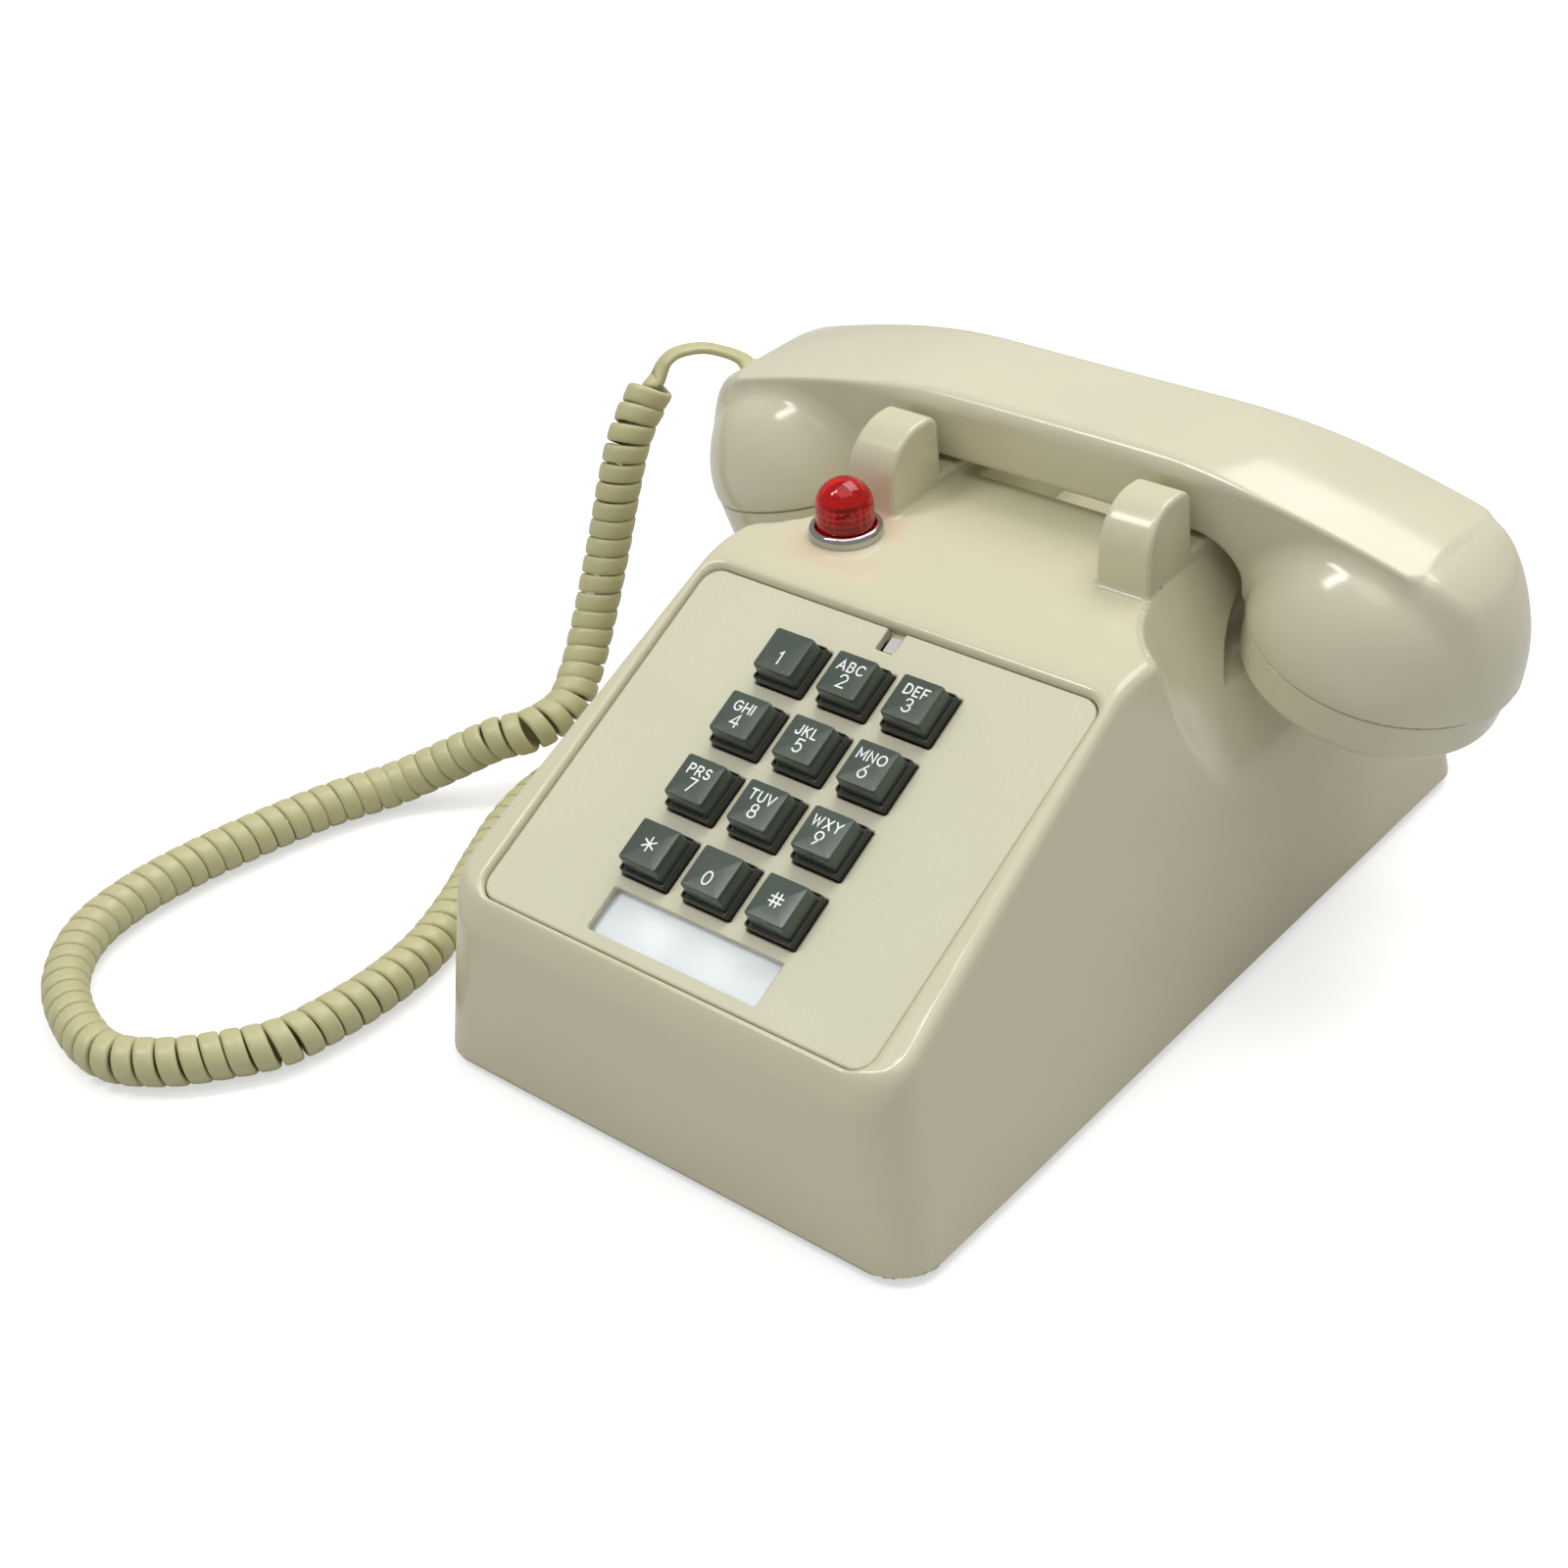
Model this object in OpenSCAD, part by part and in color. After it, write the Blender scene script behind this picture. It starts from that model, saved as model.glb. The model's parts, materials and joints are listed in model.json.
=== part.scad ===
// Corded desk telephone with a twelve-key pad, a message lamp and a mechanical ringer.
// Millimetres. +Z up, +Y to the back, X = 0 is the plane of symmetry.
// The housing is drawn from its front lower edge and then set on its feet by placed().

/* [Housing] */
// Width of the housing at its lower edge
body_w = 142.3; // [138:0.1:150]
// Depth of the housing at its lower edge
body_d = 236; // [234:1:246]
// Height of the level deck above the lower edge
deck_z = 91.8; // [88:0.1:100]
// Distance from the front lower edge to the front edge of the deck
ridge_y = 99.3; // [97:0.1:103]
// Slope of the key panel
slope = 26.15; // [24:0.05:28]
// Inward lean of the side walls
side_lean = 7.7; // [6:0.1:9]
// Backward lean of the front wall
front_lean = 5.6; // [4:0.1:7]
// Radius of the upright corners
corner_r = 11.5; // [9:0.1:14]
// Wall of the housing
wall = 2.8; // [2.2:0.1:3.2]
// Height of the rubber feet below the housing
foot_h = 2; // [1.8:0.1:4]

/* [Face plate] */
// Width of the face plate
plate_w = 111.7; // [108:0.1:113]
// Length of the face plate along the slope
plate_l = 96.4; // [94:0.1:97]
// Thickness of the face plate
plate_t = 2.5; // [2:0.1:3]
// Corner radius of the face plate
plate_r = 5; // [3:0.1:8]
// Depth of the face plate below its rim
plate_recess = 1.2; // [0.8:0.1:1.6]
// Gap all round the face plate
plate_gap = 0.3; // [0.2:0.05:0.5]
// Width of the card window
window_w = 48.5; // [44:0.1:52]
// Height of the card window
window_h = 11.2; // [9:0.1:12]

/* [Keys] */
// Distance between key columns
pitch_x = 18.2; // [17.4:0.1:19]
// Distance between key rows
pitch_y = 18.1; // [17.4:0.1:19]
// Side of a square key opening
key_open = 13.7; // [12.8:0.1:14.2]
// Running gap round a key skirt
key_gap = 0.25; // [0.15:0.05:0.4]
// Height of a key top above the face plate
key_h = 6.5; // [5:0.1:7.5]
// Side of the flat key top
key_top = 9.8; // [9:0.1:10.4]
// Travel of a key
key_travel = 3; // [2:0.1:3.2]

/* [Lamp] */
// Radius of the lamp lens
lens_r = 7; // [6:0.1:7.4]
// Height of the lens above the deck
lens_h = 14.5; // [12:0.1:17]
// Radius of the lamp ring
ring_r = 9; // [8.6:0.1:9.6]

/* [Handset] */
// Sideways distance from the middle to a cup
cup_x = 80.3; // [79:0.1:84]
// Distance from the front lower edge to the handset's centre line
cup_y = 170; // [169:0.1:172]
// Height of the cap seam above the housing's lower edge
cup_z = 75.2; // [74.5:0.1:80]
// Inward tilt of the caps
cup_tilt = 14.9; // [12:0.1:16]
// Radius of a cap at the seam
cup_r = 31.6; // [29:0.1:32.4]
// Length of a cap along its axis
cap_l = 12.7; // [11:0.1:13.4]
// Radius of the arched back of the handle
back_r = 335; // [320:1:350]
// Height of the back at the middle of the handle
back_z = 118.6; // [118:0.1:121]
// Thickness of the handle at its middle
grip_t = 22.1; // [21:0.1:22.4]
// Width of the handle at its back
grip_w = 36.4; // [32:0.1:37.4]

/* [Cradle] */
// Inner edge of the cradle ears from the middle
ear_x = 28.9; // [28:0.1:30]
// Width of an ear
ear_w = 14.7; // [13.4:0.1:15]
// Front face of the front ears from the front lower edge
ear_y = 131; // [130:0.1:132]
// Top of the front ears above the housing's lower edge
ear_top = 116.4; // [112:0.1:117]
// Top of the back ears above the housing's lower edge
back_ear_top = 103; // [101:0.1:106]
// Gap between the handset and the cradle
rest_gap = 0.3; // [0.2:0.05:0.5]
// Travel of the hook plungers
plunger_travel = 5; // [3:0.1:5.2]

/* [Ringer] */
// Radius of a gong
gong_r = 27; // [24:0.5:28]
// Wall of a gong
gong_t = 1.5; // [1.2:0.1:2]

/* [Handset cord] */
// Outer radius of the curled cord
coil_r = 6.2; // [5.5:0.1:6.2]
// Width of the flat cord
cord_w = 4.6; // [4:0.1:5]
// Thickness of the flat cord
cord_t = 2.4; // [2:0.1:2.6]

/* [Hidden] */

$fn = 64;
eps = 0.01;
foot_r = 8;
foot_in = 27;
neck_r = 3;
sheet = 1.2;
sheet_z = 0.6;
sheet_gap = 0.4;
boss_r = 4.4;
boss_x = body_w / 2 - wall - 4.6;
foot_step = 13.75;
foot_x = boss_x - foot_step;
boss_in = 21;
screw_r = 1.5;
bore_gap = 0.05;
rear_lean = 7;
rear_z = 58;
rear_y = 22;
form_h = 135;
ledge_w = 2.2;
ledge_t = 2.3;
panel_d = 49.8;
plate_v = -3.6;
window_v = -42.8;
pane_t = 1;
pane_lip = 1.1;
card_t = 0.3;
flange = 0.9;
flange_t = 1.2;
seat_gap = 0.3;
skirt_h = 2.6;
guide_t = 4.2;
stem = 6.4;
board_t = 1.6;
dome_r = 4;
notch_w = 5;
notch_l = 6;
lamp_x = -34.3;
lamp_y = 119.8;
barrel_t = 0.8;
scoop_r = 35.9;
scoop_x = 78;
scoop_low_x = 82.4;
scoop_y = 140;
scoop_lean = 27.2;
cup_clear = 2.4;
grip_hole_w = 50;
grip_floor = 72;
grip_low = back_z - grip_t;
inner_x = 39;
inner_r = 12;
saddle_z = grip_low - inner_r + sqrt(inner_r * inner_r - pow(ear_x + ear_w - inner_x, 2)) - rest_gap;
plunger_x = 34;
plunger_r = 4.4;
plunger_gap = 0.08;
plunger_flange = 5.6;
lever_y = 141;
jack_y = 128;
jack_w = 14;
jack_h = 12;
jack_d = 16;
socket_w = 8;
socket_h = 6.8;
line_x = -28;
gong_x = 30.5;
gong_y = 184;
gong_z = 24;
wheel_in = 24.15;
wheel_x = body_w / 2 - wheel_in;
wheel_y = 176;
wheel_r = 9.3;
wheel_z = 8.3;
exit_x = 105.5;
exit_z = 95.3;
exit_lean = 55;
net_x = -54;
net_y = 42;
net_w = 74;
net_l = 54;
net_h = 22;
net_wall = 2;
net_lid = 1.6;
net_fit = 0.5;
post_r = 2.4;
post_h = 1.8;
post_x = 10;
post_y = 18;
post_in = [8, 9];
strip_w = 28;
strip_l = 10;
strip_h = 16;
leaf_x = 6.5;
leaf_w = 4;
leaf_t = 1;
bracket_t = 1.5;
bracket_l = 24;
bracket_top = 5;
frame_t = 1.6;
frame_l = 48;
frame_front = 30;
frame_side = 7;
cheek_x = 8;
cheek_l = 14;
cheek_h = 16;
coil_l = 16;
coil_in = 21;
flange_r = 6.8;
winding_r = 6;
spool_r = 3;

// Depths of the key works below the top of the face plate
flange_top = plate_t + seat_gap;
guide_top = flange_top + flange_t + key_travel + seat_gap;
guide_low = guide_top + guide_t;
stem_low = guide_low + 0.8;
board_top = stem_low + key_travel + seat_gap + 1.4;

function unit(v) = v / norm(v);
function turn(a, b) = atan2(a[0] * b[1] - a[1] * b[0], a * b);
function left(u) = [-u[1], u[0]];
function side(p, i) = unit(p[(i + 1) % len(p)] - p[i % len(p)]);
// Moves each side of an anticlockwise outline inwards by t
function inset(p, t) = [for (i = [0 : len(p) - 1])
    let (a = left(side(p, i + len(p) - 1)), b = left(side(p, i)))
    p[i] + t * (a + b) / (1 + a * b)];
// Rounds each corner of an anticlockwise outline with its own radius
function rounded(p, r, n = 6) = [for (i = [0 : len(p) - 1])
    let (u = side(p, i + len(p) - 1), v = side(p, i), w = turn(u, v), s = sign(w),
        a = left(u), b = left(v), c = p[i] + s * r[i] * (a + b) / (1 + a * b))
    for (k = [0 : n])
        let (q = w * k / n, d = [a[0] * cos(q) - a[1] * sin(q), a[0] * sin(q) + a[1] * cos(q)])
        c - s * r[i] * d];

// Side outline of the housing, from the front lower edge anticlockwise
front_z = (deck_z - ridge_y * tan(slope)) / (1 - tan(front_lean) * tan(slope));
outline = [[0, 0], [body_d, 0], [body_d - rear_z * tan(rear_lean), rear_z], [body_d - rear_y, deck_z],
    [ridge_y, deck_z], [front_z * tan(front_lean), front_z]];

module placed() { translate([0, -body_d / 2, foot_h]) children(); }
module both() { children(); mirror([1, 0, 0]) children(); }
// Extrudes a side-view outline across the width w, centred on the middle plane
module across(w) { rotate([90, 0, 90]) translate([0, 0, -w / 2]) linear_extrude(w) children(); }
// Frame of the key panel: origin between the key rows on the top of the face plate
module on_panel() {
    translate([0, ridge_y, deck_z]) rotate([slope, 0, 0])
        translate([0, -panel_d, -plate_recess]) children();
}
module rect_r(w, l, r) {
    polygon(rounded([[-w / 2, -l / 2], [w / 2, -l / 2], [w / 2, l / 2], [-w / 2, l / 2]], [r, r, r, r], 8));
}

// Four-sided form with leaning walls and round upright corners
module hull_form(t) {
    r = corner_r - t;
    top_x = body_w / 2 - form_h * tan(side_lean) - corner_r;
    low_x = body_w / 2 - corner_r;
    hull() for (s = [-1, 1]) {
        translate([s * low_x, corner_r, 0]) cylinder(r = r, h = eps, $fn = 64);
        translate([s * low_x, body_d - corner_r, 0]) cylinder(r = r, h = eps, $fn = 64);
        translate([s * top_x, corner_r + form_h * tan(front_lean), form_h])
            cylinder(r = r, h = eps, $fn = 64);
        translate([s * top_x, body_d - corner_r - form_h * tan(rear_lean), form_h])
            cylinder(r = r, h = eps, $fn = 64);
    }
}
module side_form(t) {
    p = rounded(inset(outline, t), [0.3, 0.3, 18, 12 - t, 5 - t, 6 - t], 6);
    across(body_w + 20) polygon(p);
}
// Space that the cups need beside the cradle: a leaning rounded slot and a pocket round each cap
module slot_form(t, h) {
    translate([0, scoop_y, 0]) cylinder(r = scoop_r + t, h = h);
    translate([0, 2 * cup_y - scoop_y, 0]) cylinder(r = scoop_r + t, h = h);
    translate([-scoop_r - t, scoop_y, 0]) cube([scoop_r + t + 40, 2 * (cup_y - scoop_y), h]);
}
module scoops(t) {
    both() {
        intersection() {
            translate([scoop_low_x, 0, deck_z]) rotate([0, -scoop_lean, 0])
                translate([0, 0, -80]) slot_form(t, 140);
            translate([0, 0, -20]) cube([160, body_d + 20, deck_z + 20]);
        }
        translate([scoop_x, 0, deck_z - eps]) slot_form(t, 60);
        on_cup() translate([0, 0, -cap_l - cup_clear - t]) cylinder(r = cup_r + cup_clear + t, h = 80);
    }
}
module on_cup() { translate([cup_x, cup_y, cup_z]) rotate([0, cup_tilt, 0]) children(); }
module grip_hole(t) {
    across(grip_hole_w + 2 * t) polygon([[cup_y - 12 - t, deck_z + 20], [cup_y - 8 - t, grip_floor + 6 - t],
        [cup_y - 2, grip_floor - t], [body_d + 20, grip_floor - 4 - t], [body_d + 20, deck_z + 20]]);
}
// Side outline of a cradle ear that stands in front of the handle
module ear_outline(top) {
    back = cup_y - grip_w / 2 - 1.2;
    polygon(rounded([[ear_y - 0.4, deck_z - 2], [back, deck_z - 2], [back - 0.6, top], [ear_y + 2, top]],
        [0.5, 0.5, 4, 10.8], 10));
}
module cradle() {
    both() translate([ear_x + ear_w / 2, 0, 0]) {
        across(ear_w) ear_outline(ear_top);
        translate([0, 2 * cup_y, 0]) mirror([0, 1, 0]) across(ear_w) ear_outline(back_ear_top);
    }
    both() translate([ear_x, ear_y + 6, deck_z - 2])
        cube([ear_w, 2 * (cup_y - ear_y - 6), saddle_z - deck_z + 2]);
}
module housing() {
    color("#dcd5ba") placed() difference() {
        union() {
            difference() {
                intersection() {
                    hull_form(0);
                    side_form(0);
                }
                difference() {
                    intersection() {
                        translate([0, 0, -eps]) hull_form(wall);
                        union() {
                            side_form(wall);
                            translate([0, 0, -wall - 1]) side_form(wall);
                        }
                    }
                    scoops(wall);
                    grip_hole(wall);
                }
            }
            cradle();
            // Ledge round the panel opening
            intersection() {
                hull_form(0.5);
                side_form(0.5);
                on_panel() translate([0, plate_v, -plate_t - ledge_t])
                    linear_extrude(plate_t + ledge_t + 0.5) rect_r(plate_w + 7, plate_l + 7, 7);
            }
            // Screw pillars
            intersection() {
                hull_form(0.5);
                both() for (y = [boss_in, body_d - boss_in]) translate([boss_x, y, sheet_z + sheet])
                    cylinder(r = boss_r, h = 36);
            }
        }
        scoops(0);
        grip_hole(0);
        on_panel() {
            translate([0, plate_v, -plate_t]) linear_extrude(20)
                rect_r(plate_w + 2 * plate_gap, plate_l + 2 * plate_gap, plate_r + plate_gap);
            translate([0, plate_v, -30]) linear_extrude(40)
                rect_r(plate_w - 2 * ledge_w, plate_l - 2 * ledge_w, plate_r - 1);
        }
        translate([lamp_x, lamp_y, deck_z - 20]) cylinder(r = lens_r + barrel_t + 0.15, h = 40);
        both() translate([plunger_x, cup_y, deck_z - 20]) cylinder(r = plunger_r + plunger_gap, h = 60);
        both() for (y = [boss_in, body_d - boss_in]) translate([boss_x, y, 0])
            cylinder(r = screw_r + bore_gap, h = 24);
        // Openings for the two jacks
        translate([-body_w / 2 - 5, jack_y - jack_w / 2 - 0.3, sheet_z + sheet])
            cube([20, jack_w + 0.6, jack_h + 0.6]);
        translate([line_x - jack_w / 2 - 0.3, body_d - 15, sheet_z + sheet])
            cube([jack_w + 0.6, 20, jack_h + 0.6]);
    }
}

module sheet_holes(r) {
    both() for (y = [boss_in, body_d - boss_in]) translate([boss_x, y, -1]) cylinder(r = r, h = 6);
}
module base_plate() {
    m = wall + sheet_gap;
    color("#8f9296") placed() difference() {
        translate([0, body_d / 2, sheet_z]) linear_extrude(sheet)
            rect_r(body_w - 2 * m - 1, body_d - 2 * m - 1, corner_r - m);
        sheet_holes(2);
        both() for (y = [foot_in, body_d - foot_in]) translate([foot_x, y, -1])
            cylinder(r = neck_r + bore_gap, h = 6);
        // Sound slots
        for (i = [-2 : 2]) translate([i * 9 - 2, 101, -1]) cube([4, 22, 6]);
        // Slot for the loudness wheel
        translate([wheel_x - 3, wheel_y - 10, -1]) cube([6, 20, 6]);
    }
}
module rubber_feet() {
    color("#26262a") placed() both() for (y = [foot_in, body_d - foot_in]) translate([foot_x, y, 0])
        rotate_extrude() polygon([[0, -foot_h], [foot_r - 1, -foot_h], [foot_r, -foot_h + 1],
            [foot_r, sheet_z], [neck_r, sheet_z], [neck_r, sheet_z + sheet], [neck_r + 1.6, sheet_z + sheet],
            [neck_r + 0.4, sheet_z + sheet + 2], [0, sheet_z + sheet + 2]]);
}
module base_screws() {
    color("#a8a9a4") placed() both() for (y = [boss_in, body_d - boss_in]) translate([boss_x, y, 0])
        difference() {
            rotate_extrude() polygon([[0, sheet_z - 1.7], [2.8, sheet_z - 1.7], [3.5, sheet_z - 0.8],
                [3.5, sheet_z], [screw_r, sheet_z], [screw_r, 18], [0.6, 20], [0, 20]]);
            translate([-3.5, -0.45, sheet_z - 2.2]) cube([7, 0.9, 1.2]);
        }
}

module key_places() {
    for (r = [0 : 3], c = [-1 : 1]) translate([c * pitch_x, (1.5 - r) * pitch_y, 0]) children();
}
module faceplate() {
    color("#d9d2b6") placed() on_panel() difference() {
        translate([0, plate_v, -plate_t]) linear_extrude(plate_t) rect_r(plate_w, plate_l, plate_r);
        key_places() translate([-key_open / 2, -key_open / 2, -10]) cube([key_open, key_open, 20]);
        translate([-window_w / 2, window_v - window_h / 2, -10]) cube([window_w, window_h, 20]);
        translate([-window_w / 2 - pane_lip, window_v - window_h / 2 - pane_lip, -plate_t - 1])
            cube([window_w + 2 * pane_lip, window_h + 2 * pane_lip, 1 + pane_t]);
        translate([-notch_w / 2, plate_v + plate_l / 2 - notch_l, -10]) cube([notch_w, notch_l + 1, 20]);
    }
}
module faceplate_latch() {
    g = 0.3;
    v = plate_v + plate_l / 2;
    color([0.93, 0.94, 0.9, 0.5]) placed() on_panel() {
        translate([-notch_w / 2 + g, v - notch_l + g, -plate_t])
            cube([notch_w - 2 * g, notch_l - 2 * g, plate_t - 0.6]);
        translate([-notch_w / 2 - 2, v - notch_l + 0.5, -plate_t - 1.2])
            cube([notch_w + 4, notch_l - ledge_w - 0.7, 1.2]);
    }
}
module card_window() {
    g = 0.15;
    color([0.95, 0.96, 0.96, 0.35]) placed() on_panel()
        translate([-window_w / 2 - pane_lip + g, window_v - window_h / 2 - pane_lip + g, -plate_t])
            cube([window_w + 2 * pane_lip - 2 * g, window_h + 2 * pane_lip - 2 * g, pane_t]);
}
module number_card() {
    color("#f4f4f2") placed() on_panel()
        translate([-window_w / 2 - 0.8, window_v - window_h / 2 - 0.8, -plate_t - card_t])
            cube([window_w + 1.6, window_h + 1.6, card_t]);
}

// Moulded key: skirt, tapered cap, hold-down flange and stem
module taper(a, b, h) {
    intersection() {
        rotate([90, 0, 0]) translate([0, 0, -a]) linear_extrude(2 * a)
            polygon([[-a / 2, 0], [a / 2, 0], [b / 2, h], [-b / 2, h]]);
        rotate([90, 0, 90]) translate([0, 0, -a]) linear_extrude(2 * a)
            polygon([[-a / 2, 0], [a / 2, 0], [b / 2, h], [-b / 2, h]]);
    }
}
module key(c, r) {
    s = key_open - 2 * key_gap;
    f = key_open + 2 * flange;
    color("#3f4540") placed() on_panel() translate([c * pitch_x, (1.5 - r) * pitch_y, 0]) {
        translate([-s / 2, -s / 2, -flange_top]) cube([s, s, flange_top + skirt_h - 0.9]);
        translate([0, 0, skirt_h - 0.9]) taper(s, s - 1.2, 0.9);
        translate([0, 0, skirt_h]) taper(key_top + 2, key_top, key_h - skirt_h);
        translate([-f / 2, -f / 2, -flange_top - flange_t]) cube([f, f, flange_t]);
        translate([-stem / 2, -stem / 2, -stem_low]) cube([stem, stem, stem_low - flange_top]);
    }
}
module key_1() { key(-1, 0); }
module key_2() { key(0, 0); }
module key_3() { key(1, 0); }
module key_4() { key(-1, 1); }
module key_5() { key(0, 1); }
module key_6() { key(1, 1); }
module key_7() { key(-1, 2); }
module key_8() { key(0, 2); }
module key_9() { key(1, 2); }
module key_star() { key(-1, 3); }
module key_0() { key(0, 3); }
module key_hash() { key(1, 3); }

// Frame under the face plate: pocket for the key flanges, guides for the stems, shelf for the card
frame_w = 3 * pitch_x + 8;
frame_hi = 2 * pitch_y + 2.5;
frame_lo = window_v - window_h / 2 - 1;
screw_places = [[-frame_w / 2 + 2.4, frame_lo + 3], [frame_w / 2 - 2.4, frame_lo + 3]];
module keypad_frame() {
    color("#d8d4c4") placed() on_panel() difference() {
        translate([-frame_w / 2, frame_lo, -board_top])
            cube([frame_w, frame_hi - frame_lo, board_top - plate_t]);
        translate([-window_w / 2 - 1, window_v - window_h / 2 - 1, -plate_t - card_t])
            cube([window_w + 2, window_h + 2, 5]);
        translate([-1.5 * pitch_x, -2 * pitch_y + 0.6, -guide_top])
            cube([3 * pitch_x, 4 * pitch_y - 1.2, 20]);
        key_places() translate([-stem / 2 - 0.25, -stem / 2 - 0.25, -30]) cube([stem + 0.5, stem + 0.5, 40]);
        translate([-1.5 * pitch_x, -2 * pitch_y + 0.6, -30])
            cube([3 * pitch_x, 4 * pitch_y - 1.2, 30 - guide_low]);
        for (p = screw_places) translate([p[0], p[1], -30]) cylinder(r = 1.05, h = 22);
    }
}
module keypad_board() {
    color("#3d6b45") placed() on_panel() {
        difference() {
            translate([-frame_w / 2, frame_lo, -board_top - board_t])
                cube([frame_w, frame_hi - frame_lo, board_t]);
            for (p = screw_places) translate([p[0], p[1], -30]) cylinder(r = 1.3, h = 30);
        }
        key_places() translate([0, 0, -board_top]) cylinder(r = dome_r, h = 1.4);
    }
}
module keypad_screws() {
    color("#b9b9b4") placed() on_panel() for (p = screw_places) translate([p[0], p[1], -board_top - board_t])
        rotate([180, 0, 0]) {
            cylinder(r = 2.1, h = 1.4);
            translate([0, 0, -6]) cylinder(r = 1, h = 6);
        }
}

module lamp_bezel() {
    color("#c9c9c6") placed() translate([lamp_x, lamp_y, deck_z]) rotate_extrude()
        polygon([[lens_r + 0.1, -8], [lens_r + barrel_t, -8], [lens_r + barrel_t, 0], [ring_r, 0],
            [ring_r, 0.9], [ring_r - 0.5, 1.7], [ring_r - 1.1, 2], [lens_r + 0.1, 1.2]]);
}
module lamp_lens() {
    r = lens_r - 1.3;
    top = lens_h - lens_r;
    color([0.75, 0.05, 0.06, 0.8]) placed() translate([lamp_x, lamp_y, deck_z]) rotate_extrude()
        polygon(concat([[r, -3], [lens_r, -3]],
            [for (a = [0 : 10 : 90]) [lens_r * cos(a), top + lens_r * sin(a)]],
            [for (a = [90 : -10 : 0]) [r * cos(a), top + r * sin(a)]]));
}
module lamp_socket() {
    color("#26282a") placed() translate([lamp_x, lamp_y, deck_z]) difference() {
        union() {
            translate([0, 0, -9]) cylinder(r = lens_r, h = 6);
            translate([0, 0, -20]) cylinder(r = lens_r - 1.5, h = 12);
        }
        translate([0, 0, -8]) cylinder(r = 3.05, h = 20);
    }
}
module lamp_bulb() {
    color([1, 0.95, 0.85, 0.5]) placed() translate([lamp_x, lamp_y, deck_z]) rotate_extrude()
        polygon(concat([[0, -8], [3, -8], [3, 1]], [for (a = [15 : 15 : 90]) [3 * cos(a), 1 + 3 * sin(a)]]));
}
module lamp_nut() {
    color("#b8b8b4") placed() translate([lamp_x, lamp_y, deck_z - wall - 2.4]) difference() {
        cylinder(r = lens_r + 4, h = 2.4, $fn = 6);
        translate([0, 0, -1]) cylinder(r = lens_r + barrel_t + bore_gap, h = 5);
    }
}

// Hook switch: two plungers on a rocking lever
plunger_low = deck_z - wall - plunger_travel - seat_gap - 2.4;
lever_top = plunger_low - seat_gap;
module plunger() {
    top = grip_low - rest_gap;
    placed() translate([plunger_x, cup_y, 0]) rotate_extrude()
        polygon([[0, plunger_low], [plunger_flange, plunger_low], [plunger_flange, plunger_low + 2.4],
            [plunger_r, plunger_low + 2.4], [plunger_r, top - 1], [plunger_r - 1, top], [0, top]]);
}
module plunger_left() { color("#ece7d2") mirror([1, 0, 0]) plunger(); }
module plunger_right() { color("#ece7d2") plunger(); }
module hook_lever() {
    a = cup_y + 5 - lever_y;
    color("#a2a4a6") placed() translate([0, lever_y, lever_top]) difference() {
        union() {
            both() translate([plunger_x - 4, -5, -1.5]) cube([7, a + 5, 1.5]);
            translate([-plunger_x, -5, -1.5]) cube([2 * plunger_x, 10, 1.5]);
            rotate([0, 90, 0]) translate([2.5, 0, -plunger_x - 3]) cylinder(r = 3, h = 2 * plunger_x + 6);
        }
        rotate([0, 90, 0]) translate([2.5, 0, -60]) cylinder(r = 1.5 + bore_gap, h = 120);
    }
}
module hook_bracket() {
    x = plunger_x + 3 + 0.4;
    z = lever_top - 2.5;
    color("#8d9092") placed() {
        l = bracket_l / 2;
        translate([-x - bracket_t, lever_y, z]) rotate([0, 90, 0])
            cylinder(r = 1.5, h = 2 * (x + bracket_t));
        both() translate([x, 0, 0]) rotate([90, 0, 90]) linear_extrude(bracket_t)
            polygon(rounded([[lever_y - l, sheet_z + sheet], [lever_y + l, sheet_z + sheet],
                [lever_y + bracket_top, z + bracket_top], [lever_y - bracket_top, z + bracket_top]],
                [0.5, 0.5, 4, 4], 5));
        translate([-x, lever_y - l, sheet_z + sheet]) cube([2 * x, bracket_l, bracket_t]);
    }
}
module hook_contacts() {
    z = lever_top - 18;
    color("#6b3f2a") placed()
        translate([-strip_w / 2, lever_y - strip_l + 2, sheet_z + sheet + bracket_t]) {
        cube([strip_w, strip_l, strip_h]);
        for (i = [0 : 3]) translate([2 + i * leaf_x, 0.4 * strip_l, strip_h])
            cube([leaf_w, leaf_t, z - sheet_z - sheet - strip_h - bracket_t + i]);
    }
}

module network_block() {
    color("#7d8084") placed() difference() {
        translate([net_x, net_y, sheet_z + sheet]) cube([net_w, net_l, net_h]);
        translate([net_x + net_wall, net_y + net_wall, sheet_z + sheet + net_h - net_wall])
            cube([net_w - 2 * net_wall, net_l - 2 * net_wall, net_wall + 1]);
    }
}
module network_terminals() {
    color("#5b4028") placed() {
        m = net_wall + net_fit;
        translate([net_x + m, net_y + m, sheet_z + sheet + net_h - net_wall])
            cube([net_w - 2 * m, net_l - 2 * m, net_lid]);
        for (i = [0 : 6], j = [0 : 2])
            translate([net_x + post_in[0] + i * post_x, net_y + post_in[1] + j * post_y,
                sheet_z + sheet + net_h - net_wall + net_lid]) cylinder(r = post_r, h = post_h);
    }
}
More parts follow.
